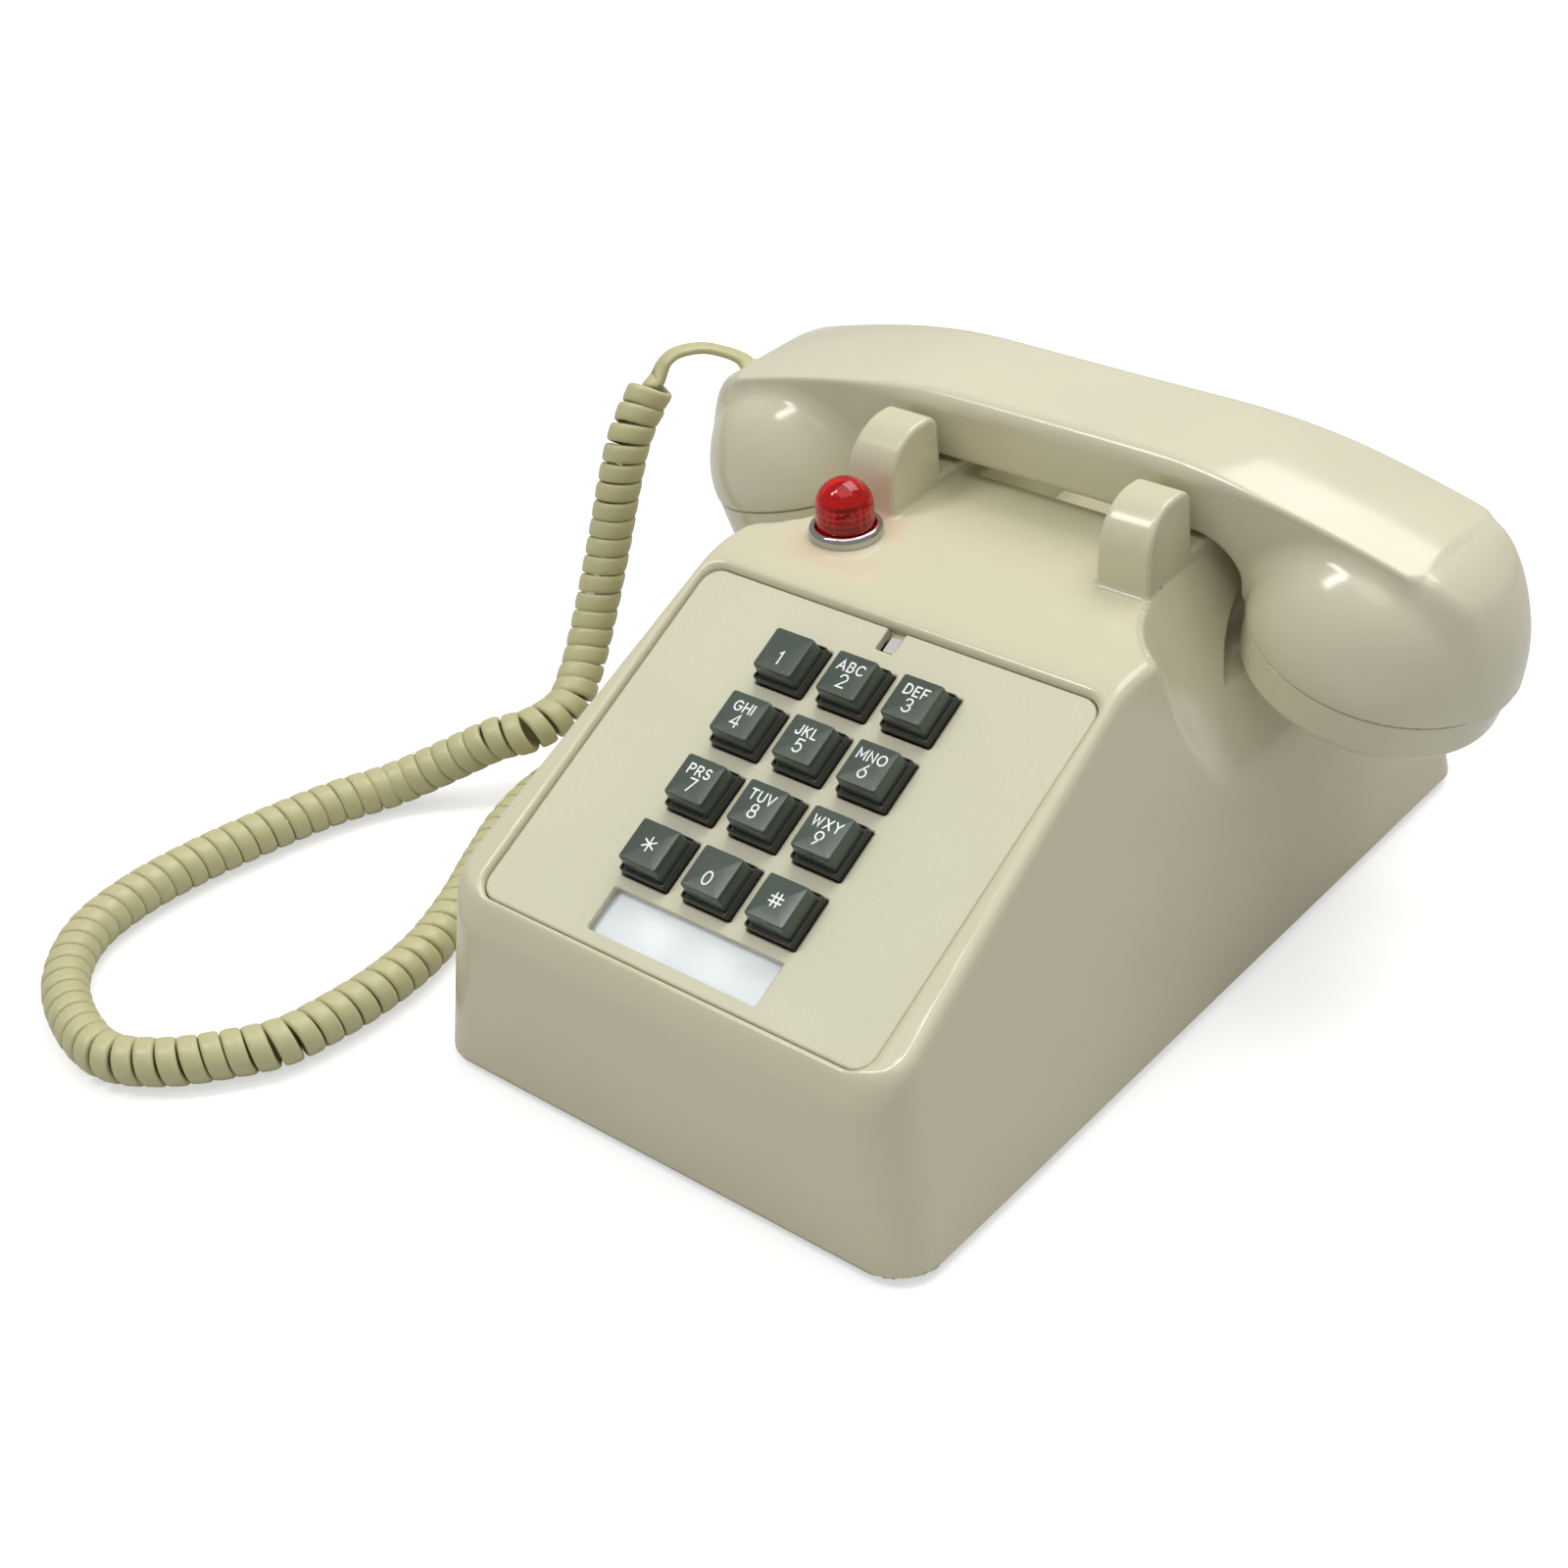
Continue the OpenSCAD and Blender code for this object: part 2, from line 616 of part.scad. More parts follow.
// Ringer: frame, coil, two gongs, clapper, loudness wheel
module gong(s) {
    placed() translate([s * gong_x, gong_y, gong_z]) rotate_extrude()
        polygon([[2.05, 13], [gong_r * 0.55, 13], [gong_r * 0.85, 11], [gong_r * 0.97, 6], [gong_r, 0],
            [gong_r - gong_t, 0], [gong_r * 0.97 - gong_t, 5.5], [gong_r * 0.85 - 0.8, 11 - gong_t],
            [gong_r * 0.55, 13 - gong_t], [2.05, 13 - gong_t]]);
}
module gong_high() { color("#b58a3a") gong(-1); }
module gong_low() { color("#b58a3a") gong(1); }
module ringer_frame() {
    b = sheet_z + sheet;
    color("#8a8d90") placed() difference() {
        union() {
            translate([-gong_x - frame_side, gong_y - frame_front, b])
                cube([2 * (gong_x + frame_side), frame_l, frame_t]);
            both() translate([gong_x, gong_y, b]) {
                cylinder(r = 4, h = gong_z + 13 - gong_t - b);
            }
            both() translate([cheek_x, gong_y - frame_front + 2, b]) cube([frame_t, cheek_l, cheek_h]);
            translate([gong_x, wheel_y - 12, b]) cube([wheel_x - gong_x + 4.2, 24, frame_t]);
            for (s = [-1, 1]) translate([wheel_x + s * 3.4 - 0.8, wheel_y - 4, b])
                cube([1.6, 8, wheel_z + 3 - b]);
            translate([wheel_x - 4.2, wheel_y, wheel_z]) rotate([0, 90, 0]) cylinder(r = 2, h = 8.4);
        }
        both() translate([gong_x, gong_y, b + 4]) cylinder(r = 1.25, h = 60);
        translate([0, gong_y - 10, b - 1]) cylinder(r = 2.05, h = 6);
        translate([wheel_x - 2.6, wheel_y - 10, b - 1]) cube([5.2, 20, 6]);
    }
}
module gong_screws() {
    color("#b9b9b4") placed() both() translate([gong_x, gong_y, gong_z + 13]) {
        cylinder(r = 3.4, h = 2);
        translate([0, 0, -14]) cylinder(r = 1.2, h = 14);
    }
}
module ringer_coil() {
    b = sheet_z + sheet + frame_t;
    t = 1.2;
    color("#b5652a") placed() translate([-coil_l / 2, gong_y - coil_in, b + flange_r + 0.2])
        rotate([0, 90, 0]) {
        cylinder(r = spool_r, h = coil_l);
        cylinder(r = flange_r, h = t);
        translate([0, 0, coil_l - t]) cylinder(r = flange_r, h = t);
        translate([0, 0, t]) cylinder(r = winding_r, h = coil_l - 2 * t);
    }
}
module clapper() {
    b = sheet_z + sheet;
    color("#9c9fa2") placed() translate([0, gong_y - 10, 0]) {
        translate([0, 0, b]) cylinder(r = 2, h = 4);
        translate([0, 0, b + 1.9]) cylinder(r = 4, h = 3);
        translate([-1, 0, b + 3]) cube([2, 16, 1.5]);
        translate([0, 16, b + 3]) cylinder(r = 1.2, h = gong_z - b + 2);
        translate([0, 16, gong_z + 3]) sphere(r = 2.6);
    }
}
module volume_wheel() {
    color("#d8d4c4") placed() translate([wheel_x, wheel_y, wheel_z]) rotate([0, 90, 0]) difference() {
        translate([0, 0, -2]) cylinder(r = wheel_r, h = 4);
        translate([0, 0, -5]) cylinder(r = 2 + bore_gap, h = 10);
        for (a = [0 : 20 : 340]) rotate([0, 0, a]) translate([wheel_r + 0.4, 0, -5]) cylinder(r = 1, h = 10);
    }
}

// Modular jack with its socket facing +X from the origin face
module jack() {
    difference() {
        translate([-jack_d, -jack_w / 2, 0]) cube([jack_d, jack_w, jack_h]);
        translate([-jack_d + 2, -socket_w / 2, 2.4]) cube([jack_d, socket_w, socket_h]);
        translate([-6, -1.6, 1]) cube([10, 3.2, 5]);
    }
}
jack_face = body_w / 2 - 2.6;
module handset_jack() {
    color("#2e2f31") placed() translate([-jack_face, jack_y, sheet_z + sheet]) rotate([0, 0, 180]) jack();
}
module line_jack() {
    color("#2e2f31") placed() translate([line_x, body_d - 2.6, sheet_z + sheet]) rotate([0, 0, 90]) jack();
}

// Handset: arched tapered handle, two bowls, screw caps with their capsules
bowl = [[0, cup_r], [3, cup_r + 0.3], [7, cup_r], [11, cup_r - 0.9], [15, cup_r - 2.4], [19, cup_r - 4.6],
    [23, cup_r - 7.6], [26, cup_r - 11], [28, cup_r - 15], [29, cup_r - 21]];
module on_arch() { translate([0, cup_y, back_z - back_r]) rotate([90, 0, 0]) children(); }
module arch(half, section) {
    on_arch() rotate([0, 0, 90 - half]) rotate_extrude(angle = 2 * half, $fn = 128) polygon(section);
}
crown = 1.2;
// End of the handle: from the crease at the end of its back down into the bowl
end_x = cup_x + 17.5;
end_z = back_z - back_r + sqrt(back_r * back_r - end_x * end_x);
module handle_end(w) {
    intersection() {
        translate([0, cup_y + w, 0]) rotate([90, 0, 0]) linear_extrude(2 * w)
            polygon([[cup_x - 10, end_z - 26], [end_x + 14.5, end_z - 26], [end_x + 14.2, end_z - 22],
                [end_x + 13, end_z - 16.5], [end_x + 10.2, end_z - 10], [end_x + 5.7, end_z - 4.5],
                [end_x, end_z - 0.5], [cup_x - 10, end_z + 6]]);
        translate([cup_x, cup_y, end_z - 40]) cylinder(r = cup_r + 0.6, h = 60);
    }
}
// Space under the handle: flat between the ears, round where it runs into the bowls
module under_grip() {
    side = [for (i = [0 : 8]) let (a = 11.25 * i)
        [inner_x + inner_r * sin(a), grip_low - inner_r * (1 - cos(a))]];
    translate([0, cup_y + 40, 0]) rotate([90, 0, 0]) linear_extrude(80)
        polygon(concat(side, [[inner_x + inner_r, 40], [-inner_x - inner_r, 40]],
            [for (i = [8 : -1 : 0]) [-side[i][0], side[i][1]]]));
}
module handset_shell() {
    w = grip_w / 2;
    low = back_r - grip_t - 8;
    edge = back_r - crown;
    half = asin(end_x / back_r);
    color("#ddd6bb") placed() difference() {
        union() {
            difference() {
                arch(half, concat([[low, -w + 4.9], [edge - 1, -w], [edge, -w + 0.4]],
                    [for (i = [-4 : 4]) [edge + crown * (1 - i * i / 25), i * w / 5]],
                    [[edge, w - 0.4], [edge - 1, w], [low, w - 4.9]]));
                under_grip();
            }
            both() intersection() {
                on_cup() rotate_extrude()
                    polygon(concat([[0, 0]], [for (p = bowl) [p[1], p[0]]], [[0, 29.2]]));
                on_arch() translate([0, 0, -60]) cylinder(r = edge, h = 120, $fn = 128);
            }
            both() intersection() {
                handle_end(w - 0.5);
                on_arch() translate([0, 0, -60]) cylinder(r = edge, h = 120, $fn = 128);
            }
        }
        both() on_cup() {
            translate([0, 0, -30]) cylinder(r = cup_r + 8, h = 30);
            translate([0, 0, -1]) cylinder(r = cup_r - 3.6, h = 15);
            translate([0, 0, 5]) cylinder(r = 7, h = 16);
        }
        cord_exit() translate([0, 0, -9]) cylinder(r = 3.1, h = 20);
    }
}
// Where the cord leaves the end of the transmitter bowl
module cord_exit() { translate([-exit_x, cup_y, exit_z]) rotate([0, -exit_lean, 0]) children(); }
module cap(holes) {
    placed() difference() {
        on_cup() union() {
            rotate_extrude() polygon([[0, -cap_l], [cup_r - 6, -cap_l], [cup_r - 2.6, -cap_l + 1],
                [cup_r - 1.1, -cap_l + 3], [cup_r - 0.2, -0.25], [cup_r - 4, -0.25], [cup_r - 4, 4],
                [cup_r - 6.5, 4], [cup_r - 6.5, -cap_l + 5], [0, -cap_l + 3]]);
        }
        for (h = holes) on_cup() rotate([0, 0, h[1]]) translate([h[0], 0, -cap_l - 1])
            cylinder(r = 1.5, h = 8);
    }
}
ring_holes = [for (a = [0 : 45 : 315]) [11, a]];
module transmitter_cap() {
    color("#ddd6bb") mirror([1, 0, 0]) cap(concat(ring_holes, [[0, 0]], [for (a = [0 : 30 : 330]) [17, a]]));
}
module receiver_cap() { color("#ddd6bb") cap(concat(ring_holes, [[0, 0]])); }
module capsule(h) {
    r = cup_r - 6.8;
    placed() on_cup() rotate_extrude() polygon([[0, -cap_l + 3.3], [r - 4, -cap_l + 5.1], [r, -cap_l + 5.4],
        [r, h - 2], [r - 2, h], [0, h]]);
}
module transmitter_unit() { color("#9a9c9e") mirror([1, 0, 0]) capsule(9); }
module receiver_unit() { color("#3a3b3d") capsule(12); }
module cord_grommet() {
    color("#b8b489") placed() cord_exit() difference() {
        translate([0, 0, -8]) cylinder(r = 3, h = 10);
        translate([0, 0, -10]) cylinder(r = 1.3, h = 9.6);
    }
}

// Handset cord: route points chosen along the desk and up to the handset
lead_pts = [[-107, 170, 96.35], [-109.4, 169.9, 98.04], [-112.4, 167.8, 100], [-116.5, 163, 102.4],
    [-120, 157, 102.8], [-121.6, 153.2, 101], [-121.8, 151.8, 98.5]];
coil_pts = [[-122, 151, 97.5], [-123.5, 146, 92], [-124.5, 140, 84], [-125.5, 135, 72], [-126.5, 131, 60],
    [-127, 126, 48], [-127, 120, 36], [-125.5, 112, 26], [-123.5, 103, 20.5], [-126, 92, 18.5],
    [-133, 86, 16.5], [-141, 80, 12], [-149, 73, 7.6], [-156, 65, 4.6], [-163, 51, 4.3], [-168, 35, 4.3],
    [-173, 14, 4.3], [-175, -6, 4.3], [-172, -24, 4.3], [-161, -39, 4.3], [-145, -48, 4.3], [-129, -51, 4.3],
    [-116, -45, 4.3], [-106, -35, 4.3], [-98, -24, 4.3], [-95, -12, 4.3], [-93.5, 3, 4.3], [-95, 20, 4.3],
    [-101, 38, 4.3], [-109, 55, 4.3], [-116, 72, 4.3], [-119, 90, 4.3], [-113, 106, 4.3], [-103, 117, 4.5],
    [-93, 124, 5]];
tail_pts = [[-93, 124, 5], [-89.5, 126.6, 6], [-84.5, 128, 7.2], [-79.5, 128, 7.6]];

function knot(p, i) = p[max(0, min(len(p) - 1, i))];
// Smooth curve through the points, n steps a span
function smooth(p, n) = concat([for (i = [0 : len(p) - 2], k = [0 : n - 1])
    let (t = k / n, a = knot(p, i - 1), b = p[i], c = p[i + 1], d = knot(p, i + 2))
    0.5 * (2 * b + (c - a) * t + (2 * a - 5 * b + 4 * c - d) * t * t + (3 * b - a - 3 * c + d) * t * t * t)],
    [p[len(p) - 1]]);
function tangent(q, i) = unit(knot(q, i + 1) - knot(q, i - 1));
// Sweeps an oval of half-width a and half-thickness b along a route that never runs straight up or down
module tube(q, a, b, n) {
    rings = [for (i = [0 : len(q) - 1])
        let (t = tangent(q, i), u = unit(cross([0, 0, 1], t)), v = cross(t, u))
        for (k = [0 : n - 1]) q[i] + a * cos(360 * (k + 0.5) / n) * u + b * sin(360 * (k + 0.5) / n) * v];
    m = len(q);
    polyhedron(rings, concat([[for (k = [0 : n - 1]) k]], [[for (k = [n - 1 : -1 : 0]) (m - 1) * n + k]],
        [for (i = [0 : m - 2], k = [0 : n - 1])
            [i * n + k, (i + 1) * n + k, (i + 1) * n + (k + 1) % n, i * n + (k + 1) % n]]));
}
module cord_lead() { color("#b5b183") placed() tube(smooth(lead_pts, 2), cord_w / 2, cord_t / 2, 8); }
module coil_cord() { color("#b5b183") placed() tube(smooth(coil_pts, 2), coil_r, coil_r, 10); }
module cord_tail() { color("#b5b183") placed() tube(smooth(tail_pts, 2), cord_w / 2, cord_t / 2, 8); }
module cord_plug() {
    g = 0.2;
    color([0.9, 0.92, 0.9, 0.5]) placed() translate([-jack_face, jack_y, sheet_z + sheet + 2.4]) {
        translate([-3, -socket_w / 2 + g, g]) cube([jack_d - 1, socket_w - 2 * g, socket_h - 2 * g]);
        translate([-10.9, -3, 1]) cube([8, 6, 4.8]);
    }
}

housing();
base_plate();
rubber_feet();
base_screws();
faceplate();
faceplate_latch();
card_window();
number_card();
lamp_bezel();
lamp_lens();
lamp_socket();
lamp_bulb();
lamp_nut();
keypad_frame();
keypad_board();
keypad_screws();
key_1();
key_2();
key_3();
key_4();
key_5();
key_6();
key_7();
key_8();
key_9();
key_star();
key_0();
key_hash();
plunger_left();
plunger_right();
hook_lever();
hook_bracket();
hook_contacts();
network_block();
network_terminals();
ringer_frame();
ringer_coil();
gong_high();
gong_low();
gong_screws();
clapper();
volume_wheel();
handset_jack();
line_jack();
handset_shell();
transmitter_cap();
receiver_cap();
transmitter_unit();
receiver_unit();
cord_grommet();
cord_lead();
coil_cord();
cord_tail();
cord_plug();
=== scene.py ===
import json
import math

import bmesh
import bpy
import numpy as np
from mathutils import Matrix, Vector

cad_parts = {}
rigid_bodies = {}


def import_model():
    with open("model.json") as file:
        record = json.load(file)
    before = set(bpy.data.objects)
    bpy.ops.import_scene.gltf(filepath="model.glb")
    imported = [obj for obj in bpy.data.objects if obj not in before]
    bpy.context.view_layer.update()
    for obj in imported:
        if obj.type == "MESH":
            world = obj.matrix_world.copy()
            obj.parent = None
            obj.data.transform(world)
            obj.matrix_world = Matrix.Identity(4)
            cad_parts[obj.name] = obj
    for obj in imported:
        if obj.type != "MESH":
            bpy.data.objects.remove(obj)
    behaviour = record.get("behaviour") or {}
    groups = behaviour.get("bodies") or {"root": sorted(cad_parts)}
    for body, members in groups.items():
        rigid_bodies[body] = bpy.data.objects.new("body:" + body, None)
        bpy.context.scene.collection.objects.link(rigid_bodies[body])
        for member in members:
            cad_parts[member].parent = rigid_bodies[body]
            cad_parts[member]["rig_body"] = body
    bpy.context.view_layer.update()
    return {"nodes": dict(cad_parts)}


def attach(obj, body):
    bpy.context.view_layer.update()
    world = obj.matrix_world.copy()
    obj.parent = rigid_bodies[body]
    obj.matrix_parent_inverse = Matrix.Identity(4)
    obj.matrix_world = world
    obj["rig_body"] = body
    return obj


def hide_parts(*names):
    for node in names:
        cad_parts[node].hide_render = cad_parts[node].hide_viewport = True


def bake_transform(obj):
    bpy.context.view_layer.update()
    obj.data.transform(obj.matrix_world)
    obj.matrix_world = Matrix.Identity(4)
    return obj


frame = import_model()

mm = 0.001
print("frame loaded:", len(frame["nodes"]), "nodes")

viewpoint = {
    "place": (0.32572, -0.41285, 0.39597),
    "right": (0.76381, 0.64044, -0.08016),
    "down": (0.31086, -0.47388, -0.8239),
    "ahead": (-0.56564, 0.60438, -0.56104),
    "lens": 60.521,
}


def makeCamera(v):
    camera = bpy.data.objects.new("viewCamera", bpy.data.cameras.new("viewCamera"))
    bpy.context.scene.collection.objects.link(camera)
    camera.data.lens = v["lens"]
    camera.data.sensor_width = 36
    camera.data.clip_start = 0.02
    camera.data.clip_end = 30
    turn = Matrix((v["right"], [-d for d in v["down"]], [-d for d in v["ahead"]])).transposed().to_4x4()
    camera.matrix_world = Matrix.Translation(v["place"]) @ turn
    bpy.context.scene.camera = camera


studio = {
    "floorColour": (0.62, 0.62, 0.615),
    "floorHalf": 6,
    "floorDrop": 0.0002,
    "floorGlow": 0.55,          # for the camera alone: the table reads white but keeps its shadow
    "ambient": 0.36,            # how much the room itself lights the set
    "aim": (0, 0, 0.05),
    "lamps": {
        "keyLamp": {"way": (-0.39, -0.36, 0.845), "distance": 1.5, "size": (0.22, 0.62), "power": 5.2},
        "topLamp": {"way": (0.1, -0.05, 1), "distance": 1.7, "size": (1.6, 1.6), "power": 10.0},
        "rearLamp": {"way": (0.05, 0.5, 0.86), "distance": 1.7, "size": (1.2, 1.0), "power": 13.5},
    },
}


def areaLamp(name, s, aim):
    lamp = bpy.data.lights.new(name, "AREA")
    lamp.shape = "RECTANGLE"
    lamp.size, lamp.size_y = s["size"]
    lamp.energy = s["power"]
    holder = bpy.data.objects.new(name, lamp)
    bpy.context.scene.collection.objects.link(holder)
    way = Vector(s["way"]).normalized()
    holder.location = Vector(aim) + way * s["distance"]
    holder.rotation_euler = way.to_track_quat("Z", "Y").to_euler()


# A shader node with the given inputs set
def addNode(nodes, kind, values):
    node = nodes.new(kind)
    for socket, value in values.items():
        node.inputs[socket].default_value = value
    return node


# White to the eye and through clear parts, dimmer to everything that the room lights
def makeRoom(s):
    world = bpy.data.worlds.new("room")
    bpy.context.scene.world = world
    world.use_nodes = True
    nodes, links = world.node_tree.nodes, world.node_tree.links
    nodes.clear()
    path = nodes.new("ShaderNodeLightPath")
    seen = nodes.new("ShaderNodeMath")
    seen.operation = "MAXIMUM"
    links.new(path.outputs["Is Camera Ray"], seen.inputs[0])
    links.new(path.outputs["Is Transmission Ray"], seen.inputs[1])
    level = addNode(nodes, "ShaderNodeMapRange", {"To Min": s["ambient"], "To Max": 1.0})
    links.new(seen.outputs[0], level.inputs["Value"])
    back = addNode(nodes, "ShaderNodeBackground", {"Color": (1, 1, 1, 1)})
    links.new(level.outputs["Result"], back.inputs["Strength"])
    out = nodes.new("ShaderNodeOutputWorld")
    links.new(back.outputs[0], out.inputs["Surface"])


# The table: a wide pale sheet just under the rubber feet
def makeTable(s):
    table = bmesh.new()
    bmesh.ops.create_grid(table, x_segments=1, y_segments=1, size=s["floorHalf"])
    sheet = bpy.data.meshes.new("tableTop")
    table.to_mesh(sheet)
    table.free()
    top = bpy.data.objects.new("tableTop", sheet)
    top.location.z = -s["floorDrop"]
    bpy.context.scene.collection.objects.link(top)
    paint, nodes, links, shader = newFinish("palePaper")
    shader.inputs["Base Color"].default_value = (*s["floorColour"], 1)
    shader.inputs["Roughness"].default_value = 0.9
    shader.inputs["Specular IOR Level"].default_value = 0.1
    shader.inputs["Emission Color"].default_value = (1, 1, 1, 1)
    grain = addNode(nodes, "ShaderNodeTexNoise", {"Scale": 900})
    ruffle = addNode(nodes, "ShaderNodeBump", {"Strength": 0.03, "Distance": 0.0002})
    links.new(grain.outputs["Fac"], ruffle.inputs["Height"])
    links.new(ruffle.outputs["Normal"], shader.inputs["Normal"])
    path = nodes.new("ShaderNodeLightPath")
    eye = addNode(nodes, "ShaderNodeMath", {1: s["floorGlow"]})
    eye.operation = "MULTIPLY"
    links.new(path.outputs["Is Camera Ray"], eye.inputs[0])
    links.new(eye.outputs[0], shader.inputs["Emission Strength"])
    sheet.materials.append(paint)


def newFinish(name):
    paint = bpy.data.materials.new(name)
    paint.use_nodes = True
    return paint, paint.node_tree.nodes, paint.node_tree.links, paint.node_tree.nodes["Principled BSDF"]


bpy.context.scene.view_settings.view_transform = "Standard"
makeCamera(viewpoint)
makeRoom(studio)
makeTable(studio)
for lampName, lampData in studio["lamps"].items():
    areaLamp(lampName, lampData, studio["aim"])
print("camera, lamps and table ready")


# Moulded, metal or clear finish: clouded tint, uneven gloss and fine grain
def plasticFinish(name, s):
    paint, nodes, links, shader = newFinish(name)
    spot = nodes.new("ShaderNodeTexCoord").outputs["Object"]
    base, swing = s["colour"], s.get("swing", 0.025)
    cloud = addNode(nodes, "ShaderNodeTexNoise", {"Scale": 22, "Detail": 4})
    links.new(spot, cloud.inputs["Vector"])
    tint = nodes.new("ShaderNodeValToRGB")
    for stop, place, change in zip(tint.color_ramp.elements, (0.3, 0.7), (-swing, swing)):
        stop.position = place
        stop.color = (*[min(1, c * (1 + change)) for c in base], 1)
    links.new(cloud.outputs["Fac"], tint.inputs["Fac"])
    colourOut = tint.outputs["Color"]
    grain = addNode(nodes, "ShaderNodeTexNoise", {"Scale": s.get("grain", 900), "Detail": 3})
    links.new(spot, grain.inputs["Vector"])
    if s.get("speckle"):
        fleck = nodes.new("ShaderNodeMix")
        fleck.data_type = "RGBA"
        fleck.blend_type = "OVERLAY"
        fleck.inputs["Factor"].default_value = s["speckle"]
        links.new(colourOut, fleck.inputs["A"])
        dry = addNode(nodes, "ShaderNodeHueSaturation", {"Saturation": 0.0})
        links.new(grain.outputs["Color"], dry.inputs["Color"])
        links.new(dry.outputs["Color"], fleck.inputs["B"])
        colourOut = fleck.outputs["Result"]
    links.new(colourOut, shader.inputs["Base Color"])
    scuff = addNode(nodes, "ShaderNodeTexNoise", {"Scale": 60, "Detail": 6, "Roughness": 0.65})
    links.new(spot, scuff.inputs["Vector"])
    spread = addNode(nodes, "ShaderNodeMapRange", {"From Min": 0.3, "From Max": 0.75, "To Min": s["rough"][0],
                                                   "To Max": s["rough"][1]})
    links.new(scuff.outputs["Fac"], spread.inputs["Value"])
    links.new(spread.outputs["Result"], shader.inputs["Roughness"])
    bump = addNode(nodes, "ShaderNodeBump", {"Strength": s["bump"], "Distance": s.get("depth", 0.0002)})
    links.new(grain.outputs["Fac"], bump.inputs["Height"])
    links.new(bump.outputs["Normal"], shader.inputs["Normal"])
    if s.get("coat"):
        shader.inputs["Coat Weight"].default_value = s["coat"]
        shader.inputs["Coat Roughness"].default_value = 0.05
    if s.get("metal"):
        shader.inputs["Metallic"].default_value = s["metal"]
    if s.get("glow"):
        shader.inputs["Subsurface Weight"].default_value = s["glow"]
        shader.inputs["Subsurface Radius"].default_value = (0.004, 0.003, 0.0015)
        shader.inputs["Subsurface Scale"].default_value = 1.0
    if s.get("clear"):
        shader.inputs["Transmission Weight"].default_value = s["clear"]
        shader.inputs["IOR"].default_value = 1.49
        # light passes straight through, so what lies under the clear part is lit
        path = nodes.new("ShaderNodeLightPath")
        through = addNode(nodes, "ShaderNodeBsdfTransparent", {"Color": (*[c ** 0.5 for c in base], 1)})
        both = nodes.new("ShaderNodeMixShader")
        links.new(path.outputs["Is Shadow Ray"], both.inputs["Fac"])
        links.new(shader.outputs["BSDF"], both.inputs[1])
        links.new(through.outputs["BSDF"], both.inputs[2])
        links.new(both.outputs["Shader"], nodes["Material Output"].inputs["Surface"])
    return paint


finishes = {
    "handsetGloss": {"colour": (0.670, 0.638, 0.475), "rough": (0.12, 0.22), "bump": 0.012, "grain": 260,
                     "coat": 0.15},
    "beigeGloss": {"colour": (0.645, 0.608, 0.435), "rough": (0.13, 0.24), "bump": 0.012, "grain": 260, "coat": 0.15},
    "plateStipple": {"colour": (0.620, 0.600, 0.440), "rough": (0.42, 0.6), "bump": 0.28, "grain": 2600,
                     "depth": 0.00012, "speckle": 0.22},
    "keyGreyGreen": {"colour": (0.066, 0.087, 0.068), "rough": (0.2, 0.34), "bump": 0.03, "grain": 1500, "swing": 0.08},
    "keySkirt": {"colour": (0.022, 0.020, 0.017), "rough": (0.25, 0.42), "bump": 0.03, "grain": 1500},
    "legendWhite": {"colour": (0.86, 0.87, 0.84), "rough": (0.4, 0.55), "bump": 0.02},
    "cardPaper": {"colour": (0.80, 0.83, 0.84), "rough": (0.7, 0.85), "bump": 0.08, "grain": 3000},
    "clearPlastic": {"colour": (0.98, 0.985, 0.98), "rough": (0.02, 0.06), "clear": 1.0, "swing": 0.004, "bump": 0.005},
    "redLens": {"colour": (0.82, 0.005, 0.003), "rough": (0.03, 0.07), "clear": 0.93, "swing": 0.02, "bump": 0.005},
    "chrome": {"colour": (0.50, 0.50, 0.48), "rough": (0.05, 0.14), "metal": 1.0, "swing": 0.02, "bump": 0.01},
    "zincSteel": {"colour": (0.42, 0.43, 0.43), "rough": (0.28, 0.5), "metal": 1.0, "swing": 0.08, "bump": 0.05},
    "blackMoulding": {"colour": (0.020, 0.020, 0.022), "rough": (0.35, 0.5), "bump": 0.1, "grain": 1800},
    "frostedTab": {"colour": (0.80, 0.80, 0.76), "rough": (0.2, 0.35), "clear": 0.35, "swing": 0.02, "bump": 0.05},
    "softRubber": {"colour": (0.025, 0.025, 0.027), "rough": (0.65, 0.85), "bump": 0.15, "grain": 1400},
    "nylon": {"colour": (0.70, 0.66, 0.52), "rough": (0.35, 0.5), "bump": 0.03, "glow": 0.1},
    "boardGreen": {"colour": (0.03, 0.16, 0.06), "rough": (0.3, 0.45), "bump": 0.05, "grain": 700},
    "spunBrass": {"colour": (0.62, 0.42, 0.14), "rough": (0.2, 0.38), "metal": 1.0, "swing": 0.06, "bump": 0.04},
    "copperWinding": {"colour": (0.50, 0.17, 0.05), "rough": (0.25, 0.4), "metal": 0.6, "swing": 0.1, "bump": 0.3,
                      "grain": 2200},
    "bulbGlass": {"colour": (0.98, 0.95, 0.9), "rough": (0.02, 0.05), "clear": 0.95, "swing": 0.01, "bump": 0.0},
    "phenolic": {"colour": (0.14, 0.06, 0.025), "rough": (0.35, 0.5), "bump": 0.08, "swing": 0.12},
    "cordVinyl": {"colour": (0.545, 0.515, 0.285), "rough": (0.3, 0.45), "bump": 0.04, "grain": 700, "glow": 0.08},
}
paints = {name: plasticFinish(name, s) for name, s in finishes.items()}
print("finishes ready:", len(paints))


